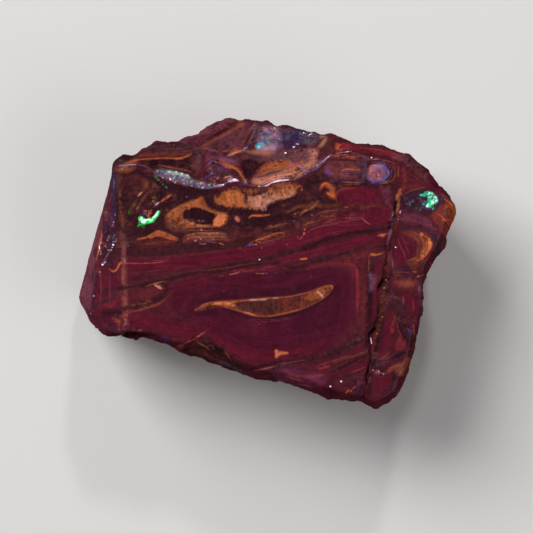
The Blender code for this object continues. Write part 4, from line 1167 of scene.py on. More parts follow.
vein_or_highlight("rose", 0.5, (278, 363.8), (292, 362), (306, 360), share=0.5)
vein_or_highlight("coral", 1.1, (317, 369), (323, 368), (330, 366.4))
vein_or_highlight("rose", 0.6, (316, 366), (330, 361.6), (346, 357), share=0.5)
vein_or_highlight("clay", 0.9, (348, 358), (358, 354.4), (368, 351), share=0.7)
vein_or_highlight("coral", 0.9, (350, 373), (358, 370), (367, 366.4), share=0.6)
vein_or_highlight("salmon", 0.6, (286, 376), (294, 379), (304, 381), share=0.5)
vein_or_highlight("lilac", 0.6, (298, 384), (306, 385.6), (312, 388), share=0.7)
vein_or_highlight("ochre", 1, (345.6, 393.6), (347.6, 391), (350, 389.6))
vein_or_highlight("orange", 0.9, (353, 388.6), (355.4, 386.4))
seam("navy", 0.8, (351.6, 391), (355, 393.4), (359, 392), share=0.6)

# %% Veins just above the lens
seam("soot", 0.7, (226.6, 274.4), (230.6, 275.4), (236, 273.6))
seam("navy", 0.9, (273, 272.6), (277.6, 272.4))
vein_or_highlight("salmon", 0.6, (229, 274.8), (234, 273.8), (239.4, 272.2))
vein_or_highlight("orange", 0.4, (256, 273.4), (262, 273.6), (268, 273.8))
vein_or_highlight("violet", 0.7, (262.6, 272.6), (265.6, 272.6))
vein_or_highlight("violet", 0.7, (274, 272.4), (276.4, 272.2), share=0.7)
vein_or_highlight("rose", 0.5, (219, 276.6), (224, 275.6))
vein_or_highlight("rose", 0.5, (241, 270.4), (248, 271.4), (254, 269.6), share=0.7)
vein_or_highlight("coral", 0.6, (262, 268.6), (268, 266.4), (275, 266.6))
vein_or_highlight("rust", 0.5, (190, 272), (212, 269.4), (228, 267.6), (242, 264.8), (256, 262.6), share=0.6)
seam("soot", 0.8, (202, 273.6), (216, 272.4), (229, 270.4), (240, 267.2), (252, 265.4), (266, 263.4),
    (279, 262))
seam("soot", 0.6, (283, 263.6), (289, 268), (296, 268.6), (303, 265.6), (312, 263.6))

# %% Veins right of the crack
vein_or_highlight("salmon", 0.45, (402, 195.6), (408, 191.4), (416, 189), (426, 187), share=0.35)
seam("brick", 0.7, (402, 174), (410, 180), (420, 181))
vein_or_highlight("clay", 0.5, (404, 171), (413, 175.4), (424, 184), share=0.35)
seam("soot", 0.5, (444, 221), (447, 224.6), (451, 230))
seam("soot", 0.5, (439, 213), (444, 211), (449, 208.4), share=0.7)
seam("umber", 0.5, (441, 227), (446, 231), (449, 236))
vein_or_highlight("salmon", 0.5, (441, 221), (446, 219), (452, 220.6))
vein_or_highlight("amber", 0.6, (444, 199), (449, 202), (453, 206))
vein_or_highlight("orange", 0.6, (436, 213), (442, 216.4), (448, 223), (452, 229), share=0.7)
vein_or_highlight("orange", 0.8, (420.8, 232.8), (426, 236.6), (430.4, 241), (431.8, 246), (428, 252.7), (421.3, 259.4),
    (415, 261.4))
vein_or_highlight("ochre", 0.7, (413, 231.6), (419, 235), (423.4, 241), (424.4, 246), (421, 252.6), (415, 257.4))
vein_or_highlight("clay", 0.6, (409, 234.6), (414.6, 237), (418.6, 242), (419.4, 247), (416.4, 252.6))
seam("soot", 0.7, (416, 231.4), (422, 235), (427, 240.6), (428.2, 246), (424.6, 252.8), (417, 259.6))
seam("soot", 0.6, (411, 233), (417, 236), (421, 241.6), (422, 246.6), (418.6, 252.6), (413, 256.4))
seam("umber", 0.6, (417, 263.4), (424, 259.6), (431, 252), (434.6, 245))
vein_or_highlight("ochre", 0.6, (407, 261), (413, 259), (418, 257))
vein_or_highlight("rose", 0.4, (398, 238), (400, 246), (404.6, 254), (405.6, 260), share=0.7)
seam("rose", 0.35, (402, 236), (406, 245), (409.4, 254), share=0.5)
vein_or_highlight("lilac", 0.5, (392, 257), (392.4, 263), (393, 268), share=0.7)
vein_or_highlight("rose", 0.4, (393, 272.4), (402, 272), (410, 273), share=0.7)
vein_or_highlight("lilac", 0.6, (418.6, 286), (419.4, 290), (419, 293.4))
vein_or_highlight("rose", 0.5, (425.4, 280), (425, 287), (425.6, 294))
vein_or_highlight("rose", 0.5, (412.6, 298), (413.4, 304), (413.4, 311), share=0.5)
vein_or_highlight("rose", 0.6, (402.4, 296.6), (404, 300), (403, 304))
seam("soot", 0.6, (409, 272), (416, 274), (423, 279), share=0.7)
seam("soot", 0.7, (394.6, 320), (395, 328), (394, 335))
seam("ash", 0.8, (391, 296), (396, 301), (401, 306), (404, 312), share=0.7)
vein_or_highlight("coral", 0.5, (397, 322), (398.6, 330), (402, 337), share=0.7)
vein_or_highlight("coral", 0.8, (398, 338), (402, 343), (405, 349), share=0.6)
vein_or_highlight("salmon", 0.5, (413, 324), (414.6, 330), (414, 337), share=0.7)
vein_or_highlight("violet", 0.5, (407.6, 328), (408.8, 331), (410.2, 335.4))
vein_or_highlight("lilac", 0.4, (402.6, 318), (405, 323.6), share=0.6)
vein_or_highlight("coral", 0.8, (377, 360), (383, 357.6), (389.6, 352))
vein_or_highlight("ochre", 0.5, (390, 368), (396, 366), (401, 364))
vein_or_highlight("ochre", 0.6, (398, 376), (402, 371), (406, 367))
seam("soot", 0.7, (376, 362.4), (386, 360), (398, 354.6))
seam("soot", 0.6, (392, 372), (394.6, 377), (393, 384))
seam("umber", 0.6, (384, 388), (390, 384), share=0.7)

# %% Veins on the brow
vein_or_highlight("gold", 0.8, (130, 161.4), (138, 159.4), (150, 158.6), (165, 157.6), (176, 158), (184, 156.6),
    (191.4, 153))
vein_or_highlight("gold", 1.1, (172, 158.6), (181, 158), (187, 155.4), (191, 154))
seam("soot", 0.9, (140, 161.6), (156, 160.6), (172, 161), (186, 159.6))
seam("soot", 1.4, (148, 165), (160, 163), (176, 163.6), (188, 166))
vein_or_highlight("ochre", 0.7, (158, 164.6), (172, 167.6), (184, 169.4), (191, 171.6))
seam("soot", 0.5, (114, 159), (120, 156), (127, 157), (130, 160), (124, 162.6), (116, 162))
seam("soot", 0.5, (118, 159.6), (123, 158.4), (126, 160))
seam("soot", 0.6, (140, 153), (152, 147.6), (168, 146), (186, 147), share=0.6)
seam("umber", 0.6, (178, 152), (192, 150.6), (204, 149))
vein_or_highlight("clay", 0.5, (180, 151.4), (190, 150), (200, 146.6), share=0.5)
seam("soot", 0.6, (206, 139.4), (215, 133.6), (226, 127), (234, 122.6))
seam("umber", 0.5, (214, 141), (226, 136), (240, 126), share=0.7)
seam("umber", 0.5, (216, 146), (230, 140), (240, 132), share=0.7)
vein_or_highlight("tan", 0.6, (208, 142.4), (218, 137.6), (228, 131.6), (238, 125), share=0.5)
vein_or_highlight("gold", 0.5, (222, 150.8), (230, 150.2), (237, 148.2))
vein_or_highlight("steel", 0.5, (247.6, 145), (251, 137.6), (254.4, 129.6), (257, 124))
vein_or_highlight("flesh", 0.6, (229, 155), (234, 152.6), (240.6, 149.4))

# %% Veins in the brow's hollow and right of it
vein_or_highlight("iris", 0.6, (206, 166.6), (208.6, 163.4), (212, 160.4), (214.6, 162), share=0.7)
vein_or_highlight("pale", 0.5, (211, 160.6), (213.4, 160), (216, 162.6))
vein_or_highlight("lilac", 0.7, (216, 161.6), (220, 162.4), (224, 166), (229, 168.4))
vein_or_highlight("flesh", 0.5, (220, 162), (223.6, 165))
vein_or_highlight("gold", 0.8, (222, 162.6), (228, 165.4), (235, 168), (240, 172.6), (244.6, 180))
vein_or_highlight("rose", 0.5, (206, 172), (210, 166.4), (215, 165.6), share=0.5)
seam("soot", 0.7, (203, 172), (206, 178), (210, 182), share=0.7)
seam("umber", 0.8, (214, 170), (222, 173), (232, 176), share=0.6)
vein_or_highlight("peach", 0.9, (223, 178.6), (227, 176.6), (232, 176))
seam("slate", 0.7, (258, 177.4), (265, 175.6), (272, 172.6), (281, 170))
seam("slate", 0.6, (250, 153.6), (258, 155.6), (268, 156.4), share=0.6)
seam("navy", 0.6, (303, 162), (307, 160.4), (311.4, 158.6))
vein_or_highlight("iris", 0.5, (288, 162.6), (295, 163), (301, 163.4))
vein_or_highlight("orange", 0.6, (288, 165), (296, 166), (303, 164.6), share=0.7)
vein_or_highlight("gold", 0.9, (262, 170), (270, 165.4), (282, 163.4), (290, 161), share=0.6)
vein_or_highlight("flesh", 0.9, (256, 183.6), (266, 180.4), (276, 176), (292, 173.6), (304, 169), share=0.6)
seam("soot", 0.6, (277, 138), (279, 142), (280.6, 147))
seam("umber", 0.9, (256, 128), (256.6, 134), (254, 140), share=0.7)
seam("umber", 0.7, (320, 147), (324, 151.6), (329, 151))
seam("navy", 0.9, (250, 144), (251.6, 147.6))
vein_or_highlight("orange", 0.7, (336.6, 149.4), (338.6, 145.4), (341, 143.6))
vein_or_highlight("clay", 0.5, (360, 148), (374, 148.6), (388, 151.4), share=0.7)
seam("umber", 0.6, (356, 152), (372, 154), (390, 156.6), (404, 164))
seam("soot", 0.5, (346, 138), (360, 143), (380, 149), share=0.7)

# %% Veins on the sawn left edge
vein_or_highlight("orange", 0.9, (100.6, 231), (101.4, 236), (99.4, 242), (98.4, 248), (97, 255), (95.6, 260))
vein_or_highlight("clay", 0.6, (98, 268), (99, 274), (100.6, 278), share=0.7)
vein_or_highlight("gold", 1, (109, 268.6), (112, 271.6), (115.4, 271), (118, 267.4), (119.6, 263), (123, 262),
    (128, 262.6))
vein_or_highlight("iris", 0.4, (113.4, 178), (113.8, 184), (113.4, 189))
vein_or_highlight("lilac", 0.5, (111.6, 248.6), (108.6, 252.6), (105, 257.6), (102.6, 263))
for k in range(6):
    low, shade = 274 + 3 * (k % 3), ("rose", "grape", "umber")[k % 3]
    seam(shade, 0.5, (100 + 3.2 * k, low), (100.6 + 3 * k, 290), (99.4 + 3.2 * k, 306), share=0.5)
seam("soot", 0.8, (119, 172), (118.4, 190), (118, 214), (118.4, 236), share=0.6)

# %% The pale line along the front of the brow, part glassy stone and part painted highlight of the glinting rim, with white painted highlights
vein_or_highlight("lilac", 0.5, (117, 166.2), (125, 165), (133, 164), (141, 164.6), (148, 167.6), (153.6, 171.4))
# partly painted highlight: this paler stretch is the line's own colour, lightened where the rim glints
vein_or_highlight("pale", 0.45, (119, 166), (126, 165), (135, 164.2), (140, 164.6))
vein_or_highlight("lilac", 0.45, (156, 174.6), (166, 177.6), (176, 181.4), (188, 185), (198, 187.6), (208, 188.2),
    (218, 186.4), (226, 183), share=0.7)
# painted highlight: a pale glint on the rim
vein_or_highlight("pale", 0.45, (208, 187.6), (214, 187), (220, 185.6), (225, 183.6))
# painted highlights: the white lines in this cell are glints on the rim, not stone colour
vein_or_highlight("white", 1.3, (228.6, 181.4), (231.6, 180.4), (235, 179.8), (238.4, 180.8))
vein_or_highlight("lilac", 0.4, (239, 181), (248, 184.6), (256, 187))
vein_or_highlight("white", 0.9, (256.4, 186.8), (261, 186.4))
vein_or_highlight("white", 0.5, (264, 186.2), (268, 185.2), (271, 183))
vein_or_highlight("white", 0.7, (271, 182.8), (275, 181.6), (281, 180.2), (289.4, 179.8))
vein_or_highlight("lilac", 0.4, (292, 179.8), (298, 178.6), (304, 174.4), (311, 170.6), (319, 167), (324, 162),
    (328, 157), (334, 154.4), (342, 152.6))
# painted highlight: a pale glint on the rim
vein_or_highlight("pale", 0.5, (344.6, 152.2), (349, 151.4))
vein_or_highlight("lilac", 0.3, (350, 151.8), (358, 154), (367, 157), share=0.6)
seams.keep(stone)
veins_and_highlights.keep(stone)

# %% Specks of clay, quartz and opal, and white and pale painted highlights where edges glint
specks = Coat("specks", 1.2)
dots, streak = specks.dots, specks.line
dots("lilac", 0.6, (287, 244.6), (136.8, 208.6), (239.6, 206.8))
dots("violet", 1.2, (249.6, 245.2))
streak("pale", 0.9, (236, 216.6), (236.4, 220))
streak("orange", 0.9, (238.6, 217), (239.2, 221.6))
streak("pale", 0.9, (154.8, 205.4), (157, 203.8), (159.4, 202.2))
streak("violet", 1.3, (142.4, 215), (146, 214.6))
dots("gold", 0.9, (150.4, 213.2), (153, 201), (148, 215.8), (146, 211), (189.6, 224.6))
dots("rose", 0.7, (144, 211), (151, 210.4), (149, 218), (138, 207))
dots("pale", 0.45, (201, 239), (195, 241), (184.6, 220.6), (201.6, 229.6), (210, 234))
dots("sand", 0.5, (170, 221), (175, 226), (180.6, 223), (186.6, 219.4), (193, 222), (199, 220.4),
    share=0.6)
dots("steel", 0.6, (128.6, 246), (204, 221))
dots("peach", 0.6, (200.6, 230.4), (193, 234.4), (199, 237.6), (209, 235.6), (217, 232.6), (222, 237),
    (188, 239), (213, 239), share=0.7)
dots("sand", 0.8, (421.4, 234.6), (430.6, 243), (428, 249.4), (422.6, 255.6), (429.6, 239), share=0.8)
dots("ochre", 0.8, (302, 259.4), (306, 259), (351, 391), (302, 190), (334, 189), (295, 214))
streak("gold", 1.3, (344.6, 207), (348, 207.4))
streak("orange", 1, (299.6, 259.4), (304, 258.8), (308, 258.6))
dots("salmon", 0.7, (306, 210.6), (256, 244.4), (304.6, 229.4), (304, 234.2))
dots("rose", 0.5, (308, 269), (311, 276.4), (224, 291), (259, 324), (400, 214), (430, 224.4), (427, 225.6),
    (436, 229), (413.4, 220.6), (420.6, 223), (430.4, 263), (409.6, 278.6), (404.6, 256))
dots("sand", 0.6, (384, 288), (386, 280), (382.4, 317), (377, 333.6), share=0.7)
dots("lilac", 0.5, (407.6, 242.6), (423, 260.4), (411, 291), (380.4, 296), (389, 300), share=0.7)
dots("rose", 0.6, (350, 217.6), (301, 186), (286, 223.4), (262, 248), (240, 248))
dots("steel", 0.9, (294, 221), (268, 205), (264, 209), (312, 215))
# painted highlights: the white specks and streaks in this cell are glints on rims, chips, the crack's lips
# and the left edge
dots("white", 0.5, (259.4, 259.6), (304, 131.6), (310, 133.4), (326, 160), (347.4, 151.8), (371.4, 157.6),
    (258.6, 146.6))
dots("white", 0.75, (341, 381.4), (330.4, 386.4), (113, 244.8), (102, 264.6), (170.4, 179.4))
streak("white", 1.1, (370.8, 338), (371.6, 343.4))
# painted highlights: pale and white glints along the rim of the brow
streak("pale", 0.45, (319, 164.8), (324, 160.2), (329.6, 155.4))
streak("pale", 0.4, (336, 153.4), (344, 152.2))
streak("white", 0.8, (348, 151.6), (351, 151.2))
streak("white", 1.7, (98.8, 246), (99.2, 249.4))
streak("white", 1.1, (399.6, 212), (401.4, 210.6))
streak("white", 0.7, (398, 218.6), (398.2, 220.4))
streak("cream", 0.8, (417, 276.6), (419.4, 276))
streak("salmon", 0.9, (422.8, 275.2), (424, 274.4))
dots("white", 0.55, (395.6, 247.2))
# painted highlight: a pale glint on the crack's lip
streak("pale", 0.8, (392.4, 213.6), (393, 216))
# painted highlights: pale glints along the sawn left edge
dots("pale", 0.5, (100, 254), (99.4, 272), (89, 314), (93, 296), (108, 250), (105, 262))
dots("steel", 0.8, (114, 183), (115, 215), (113, 238), (116, 240), (112, 226), (114.6, 235))
# more painted highlights: pale glints on the left edge
dots("pale", 0.45, (114.6, 213), (101, 242), (101, 253), (113.4, 222), (108.6, 236), (105, 246), (107, 240),
    (111, 250))

# %% Specks in the opal seam and the blue potch
dots("violet", 0.8, (186.6, 196.6), (183, 177), (206.4, 177), (214.6, 176.6), (218.6, 168), (436, 203.4),
    (331.6, 186))
streak("violet", 1.5, (326.6, 172), (328.6, 172.8), (330, 172))
dots("iris", 0.9, (211.6, 173), (245.6, 183), (268, 130), (271.4, 131), (247, 146.6), (303.4, 167.4),
    (303, 166))
dots("white", 0.7, (285.6, 152.4))
dots("aqua", 0.7, (262.4, 136.6), (271.4, 135.4), (279, 138), (268.6, 141.4), (244.6, 147.4), (245.4, 181))
dots("mint", 0.7, (258, 146), (262.6, 143), (260, 144.6))
for k in range(19):
    x = 157 + 2.9 * k
    y = 170.4 + 0.29 * (x - 157) + 1.6 * math.sin(2.3 * k)
    dots(("mint", "soot", "teal", "pale", "peach", "navy")[k % 6], 0.7 - 0.12 * (k % 3), (x, y))
    dots(("navy", "lilac", "soot", "steel", "pale")[k % 5], 0.6, (x + 1, y + 3.4 + 0.8 * math.sin(3.1 * k)))
streak("mint", 1.2, (173, 172.4), (178, 173.4), (182, 174.6))
streak("mint", 1, (184.6, 174.4), (188, 176), (190, 178))
dots("white", 0.5, (170.6, 179.4), (188.6, 176.6), (202, 187.4), (223, 184.8), (176, 171.6), (182, 173.4),
    (187, 175), (169, 171.6))
dots("pale", 0.6, (163, 178), (175, 182.4), (184, 184), (192, 186), (210, 186.4), (215, 185.6), (219, 184.8))
dots("gold", 0.7, (250, 208.6), (271, 167), (281, 160), (296, 151), (308, 167), (214.6, 181), (218, 178),
    (210, 168), (302.6, 163))
dots("soot", 0.7, (246.6, 177.6), (251.6, 177), (303.6, 173.4), (312.4, 151.4), (295.6, 170), (264, 171),
    (275.6, 165.4))
dots("navy", 1, (286, 133), (291, 139), (297, 133), (284, 141), (300, 143.6), (289, 145), (303, 139),
    (308, 136), (313, 132))
dots("slate", 1.1, (288, 128), (296, 143), (294, 146), (303, 141), (288, 140))
# painted highlights: white glints on the blue potch
dots("white", 0.4, (294.2, 146.4), (298.4, 143), (274.6, 126.8))
dots("steel", 0.6, (287, 136), (293.6, 130.6), (300, 136.6), (309, 139), (315, 133))
dots("umber", 0.6, (262, 180), (276, 175), (299, 170), (291, 158), (306, 154))

# %% Dark dashes in the lens, and the last specks
CORE_DASHES = (
    (242, 303), (248, 306), (253, 303.6), (258, 308), (263, 304), (268, 309), (272, 304.6),
    (246, 309.6), (256, 312), (264, 312.4), (277, 307), (238, 304.6), (251, 308.6),
)
for k, (x, y) in enumerate(CORE_DASHES):
    streak("umber", 1.5 - 0.1 * (k % 4), (x - 1.6, y), (x + 1.6, y - 0.4), share=0.75)
dots("umber", 0.7, (286, 303), (292, 306), (299, 302), (306, 300), (283, 309), (313, 294.4), (296, 299),
    (326, 290))
dots("flesh", 0.7, (373, 370), (378.6, 371), (383.6, 374))
specks.keep(stone)

# %% The fire, painted as light that glows
# painted light: the fire's colours feed the emission, so the flashes glow whatever the lamps do
fire = Coat("fire", 1)
fire.line("emerald", 2.4, (140.8, 218.6), (142.4, 221.2), (145, 222), (148.6, 221), (152, 220), taper=False,
    rag=0.5)
fire.line("emerald", 1.5, (151, 220.6), (154, 218.6), (156.6, 215.4), (158.6, 212), taper=False, rag=0.5)
fire.line("frost", 1.7, (141.6, 219.4), (143.4, 221), (146, 221.2), taper=False, rag=0.5)
fire.line("frost", 1.1, (146, 221), (150, 220), (153, 218.6), (155.6, 216), (157.6, 213), taper=False,
    rag=0.5)
fire.line("leaf", 0.8, (142.6, 225), (143.2, 228))
fire.dots("leaf", 0.7, (155, 176.4), (138.4, 226))
fire.dots("sea", 0.6, (166.4, 187.4), (163, 184.4), (158.4, 180), share=0.5)
fire.line("sea", 0.9, (420.6, 195), (424, 195.2), (428, 194), taper=False)
fire.line("sea", 1.1, (426, 192.8), (428.6, 192.2), (431.6, 193.4), (434, 195.6), (436.6, 198.6), (437, 201),
    taper=False, rag=1.4)
fire.line("sea", 1.2, (428.6, 194), (429.6, 198), (430, 202), (428.4, 206), taper=False, rag=1.4)
fire.line("emerald", 0.9, (434, 202), (431.6, 204.4), (428.6, 206.4), taper=False, rag=1.4)
fire.dots("frost", 1.1, (428.4, 193.6), (429.4, 197.4), (435.4, 197.2), (436.4, 200.4), (432.4, 202.8),
    (427.6, 206), (432, 193.6))
fire.dots("soot", 0.9, (432.6, 198.4), (426.2, 199.6), (433.6, 205.4), (425.4, 196.6))
fire.dots("sea", 0.6, (433, 209), (422.6, 204), share=0.6)
fire.keep(stone)

# %% [markdown]
# ## The level of each point in the layers
#
# Between the drawn bands the stone is full of finer ones, too many to draw. They need a
# number that is the same all along a layer. A few guide lines each carry the level they
# lie at. A point takes the level of every guide plus its distance from it, and the
# nearest guides count most. The lens has level 0 along its middle, and the levels rise
# on both sides of it.

# %% Levels
GUIDES = (
    # level, then points; higher levels lie on the left hand of someone who walks along it
    (45, (60, 300), (130, 288), (165, 280), (200, 271), (258, 262), (300, 249), (330, 240), (388, 228)),
    (64, (60, 266), (121, 261), (180, 254), (230, 249), (275, 239), (310, 229), (345, 223), (388, 206)),
    (86, (60, 244), (128, 240), (159, 231), (200, 231), (250, 238), (300, 226), (345, 212), (392, 203)),
    (120, (100, 196), (160, 196), (215, 196), (260, 203), (300, 190), (340, 180), (392, 184)),
    (150, (112, 165), (160, 168), (200, 176), (245, 170), (300, 160), (340, 150), (400, 156)),
    (180, (140, 150), (200, 138), (250, 120), (330, 134), (400, 146)),
    (30, (358, 268), (358, 300), (355, 316)),
    (
        45, (378, 270), (376, 300), (368, 337), (342, 350), (300, 361),
        (250, 368), (205, 340), (130, 330), (60, 330),
    ),
    (70, (372, 378), (300, 384), (230, 376), (180, 352), (120, 350)),
    (60, (430, 190), (420, 230), (432, 247), (420, 265), (416, 290), (412, 340), (396, 380)),
)
LENS_MIDDLE = ((200, 308), (230, 304), (268, 307), (310, 298), (332, 288))
SOFTENING = 20  # keeps a guide's weight finite right on its line


def signed_distance(line, spots):
    """How far a spot lies to the left of someone who walks along a line. Less than 0 is on the right."""
    best, side = np.full(len(spots), np.inf), np.ones(len(spots))
    for start, end in zip(line, line[1:]):
        along = end - start
        t = np.clip((spots - start) @ along / (along @ along), 0, 1)
        off = spots - start - t[:, None] * along
        closer = length(off) < best
        best[closer] = length(off[closer])
        side[closer] = np.sign(along[1] * off[closer, 0] - along[0] * off[closer, 1])
    return best * side


def weight_at(distance):
    """How much a guide counts at this distance from it."""
    return 1 / (distance**2 + SOFTENING)


from_middle = np.abs(signed_distance(np.array(LENS_MIDDLE, float), sheet))
weights = weight_at(from_middle)
total = weights * from_middle
for guide_level, *line in GUIDES:
    distance = signed_distance(np.array(line, float), sheet)
    total += weight_at(distance) * (guide_level + distance)
    weights += weight_at(distance)
level = total / weights
print("levels from", round(float(level.min())), "to", round(float(level.max())))

# %% What the finish reads from each point
BROWN = (0.12, 0.22)  # green over red in the ground, where the brown grain begins and where it is full

grainy = ease(ground[:, 1] / ground[:, 0], *BROWN)
give(stone, "level", level)
give(stone, "broken", broken)
give(stone, "hidden", hidden)
give(stone, "potch", potch)
give(stone, "polish", polish)
give(stone, "grainy", grainy)
give(stone, "ground", np.column_stack([ground, np.ones(len(ground))]))
print(len(stone.data.attributes), "attributes on the mesh")

# %% [markdown]
# ## The finish
#
# The shader starts from the washed ground, adds fine bands along the levels, and a
# sandy grain where the ground is brown. Then it lays the coats one over another: bands,
# patches, seams, veins, specks and last the fire. Glassy potch is speckled with lilac,
# violet, steel and teal. Broken stone is browner and drier. Below the widest line it
# turns earthy, with ochre and sooty pockets. Shader maths reads best as sums, so one
# small class lets sockets be added and multiplied.

# %% Sockets that can be written in sums
class Signal:
    """A socket that carries a number or a colour."""

    def __init__(self, finish, socket):
        self.finish, self.socket = finish, socket

    def maths(self, operation, other):
        return self.finish.node("ShaderNodeMath", {"operation": operation}, {0: self, 1: other})

    def __add__(self, other):
        return self.maths("ADD", other)

    def __sub__(self, other):
        return self.maths("SUBTRACT", other)

    def __mul__(self, other):
        return self.maths("MULTIPLY", other)

    def __rsub__(self, other):
        return (self * -1) + other

    __radd__, __rmul__ = __add__, __mul__


# %% A finish whose nodes are made by calls
class Finish:
    """A material, with a method for each kind of step in it."""

    def __init__(self, name):
        self.material = bpy.data.materials.new(name)
        self.material.use_nodes = True
        self.tree = self.material.node_tree
        self.shader = self.tree.nodes["Principled BSDF"]

    def node(self, kind, settings=None, inputs=None, output=0):
        """Makes a node, sets it, feeds it, and gives one of its outputs."""
        made = self.tree.nodes.new(kind)
        for name, value in (settings or {}).items():
            setattr(made, name, value)
        for name, value in (inputs or {}).items():
            self.feed(made.inputs[name], value)
        return Signal(self, made.outputs[output])

    def feed(self, socket, value):
        """Links a signal to a socket, or sets the socket to a plain value."""
        if isinstance(value, Signal):
            self.tree.links.new(value.socket, socket)
        else:
            socket.default_value = value

    def set(self, **inputs):
        """Feeds the shader's own sockets. An underscore in a name stands for a space."""
        for name, value in inputs.items():
            self.feed(self.shader.inputs[name.replace("_", " ")], value)

    def report(self, step):
        """Prints how far the material has come."""
        print(step, "done,", len(self.tree.nodes), "nodes so far")

    def stored(self, name, output="Fac"):
        """One of the piece's own attributes."""
        return self.node("ShaderNodeAttribute", {"attribute_name": name}, output=output)

    def parts(self, kind, whole):
        """The three numbers that a place or a colour is made of."""
        outputs = self.node(kind, None, {0: whole}).socket.node.outputs
        return [Signal(self, outputs[k]) for k in range(3)]

    def clouds(self, place, scale, detail, roughness=0.5, output=0):
        """Noise from 0 to 1."""
        inputs = {"Vector": place, "Scale": scale, "Detail": detail, "Roughness": roughness}
        return self.node("ShaderNodeTexNoise", None, inputs, output)

    def place(self, x, y, z):
        """A place to read noise at."""
        return self.node("ShaderNodeCombineXYZ", None, {0: x, 1: y, 2: z})

    def mixed(self, share, first, second, blend="MIX"):
        """Two colours mixed by a share."""
        inputs = {0: share, 6: first, 7: second}
        return self.node("ShaderNodeMix", {"data_type": "RGBA", "blend_type": blend}, inputs, output=2)

    def shaded(self, share, colour, *parts):
        """The colour, with its red, green and blue multiplied by these parts where the share is 1."""
        return self.mixed(share, colour, self.mixed(1, colour, linear(*parts), "MULTIPLY"))

    def stained(self, share, colour, name):
        """The colour, turned into a named one where the share is 1."""
        return self.mixed(share, colour, linear(*tint(name)))

    def stepped(self, value, low, high):
        """A smooth step from 0 at low to 1 at high."""
        inputs = {"Value": value, "From Min": low, "From Max": high}
        return self.node("ShaderNodeMapRange", {"interpolation_type": "SMOOTHSTEP"}, inputs)

    def coat(self, name, fray, soft, ground, worn=1):
        """Lays a coat of marks over a ground colour. Gives the new colour and the marks' share."""
        way = self.stored(name + "_way", "Vector")
        half = self.stored(name + "_way", "Alpha")
        gap = self.node("ShaderNodeVectorMath", {"operation": "LENGTH"}, {0: way}, output="Value") - half
        gap = gap + fray * self.stored(name + "_rag")
        share = self.stepped(gap, soft / 2, -soft / 2) * self.stored(name + "_paint", "Alpha") * worn
        return self.mixed(share, ground, self.stored(name + "_paint", "Color")), share


def linear(*parts):
    """Three numbers from 0 to 1 as a colour."""
    return (*parts, 1)


# %% Noises of the ironstone
# swells in one metre of stone, from broad to fine
COARSE, WAVY, BLOTCH, MOTTLE, HUE, FINE, GRIT, DUST = 170, 260, 420, 900, 1300, 1900, 2600, 5200
LAYER_RATE, THREAD_RATE = 0.16, 0.55  # swells across the layers for each step of level
LAYER_WAVE, THREAD_WAVE = 2.6, 4  # how much the layers and the threads in them wave
LAYER_ALONG = 260  # swells along the layers in one metre
THREAD_ALONG = (500, 120, 420)  # the same for the threads, along x, y and z
FIBRES = (4200, 900, 900)  # the same for the fibres of the clay, which are thin along x

opal = Finish("ironstone_with_opal")
where = opal.node("ShaderNodeTexCoord", output="Object")
x, y, z = opal.parts("ShaderNodeSeparateXYZ", where)
level_in = opal.stored("level")
wavy = opal.clouds(where, WAVY, 3)
along = opal.place(x * LAYER_ALONG, level_in * LAYER_RATE + wavy * LAYER_WAVE, z * LAYER_ALONG)
thin = opal.place(
    x * THREAD_ALONG[0],
    level_in * THREAD_RATE + wavy * THREAD_WAVE,
    z * THREAD_ALONG[2] + y * THREAD_ALONG[1],
)
fibre = opal.place(x * FIBRES[0], y * FIBRES[1], z * FIBRES[2])
layers = opal.clouds(along, 1, 2, 0.6)
threads = opal.clouds(thin, 1, 3, 0.65)
fibres = opal.clouds(fibre, 1, 2)
coarse = opal.clouds(where, COARSE, 5, 0.62)
blotch = opal.clouds(where, BLOTCH, 4, 0.65)
mottle = opal.clouds(where, MOTTLE, 3, 0.6)
hues = opal.parts("ShaderNodeSeparateColor", opal.clouds(where, HUE, 3, 0.7, "Color"))
fine = opal.clouds(where, FINE, 2, 0.6)
grit = opal.clouds(where, GRIT, 3, 0.7)
dust = opal.clouds(where, DUST, 2, 0.6)
opal.report("noises")

# %% Fine layers and grain in the ground
colour = opal.stored("ground", "Color")
colour = opal.shaded(opal.stepped(layers, 0.3, 0.7) * 0.5, colour, 0.52, 0.62, 0.62)
colour = opal.shaded(opal.stepped(threads, 0.45, 0.72), colour, 1.2, 1.22, 1.14)
colour = opal.shaded(opal.stepped(threads, 0.5, 0.3), colour, 0.86, 0.86, 0.88)

grains = opal.stored("grainy")
colour = opal.stained(grains * opal.stepped(mottle * 0.7 + grit * 0.3, 0.5, 0.66) * 0.55, colour, "khaki")
colour = opal.stained(grains * opal.stepped(blotch * 0.5 + grit * 0.5, 0.5, 0.38) * 0.8, colour, "soot")
colour = opal.stained(grains * opal.stepped(dust, 0.6, 0.75) * 0.25, colour, "clay")
opal.report("ground")

# %% The coats, one over another
# how far the noises push an edge to and fro, in tenths of a millimetre
fray = (mottle - 0.5) * 2.2 + (grit - 0.5) * 1.4
ragged = (blotch - 0.5) * 14 + (mottle - 0.5) * 7 + (grit - 0.5) * 4 + (fibres - 0.5) * 6
# how much of a vein is left where it is rubbed off
worn = opal.stepped(mottle * 0.5 + grit * 0.5, 0.36, 0.54) * 0.7 + 0.3

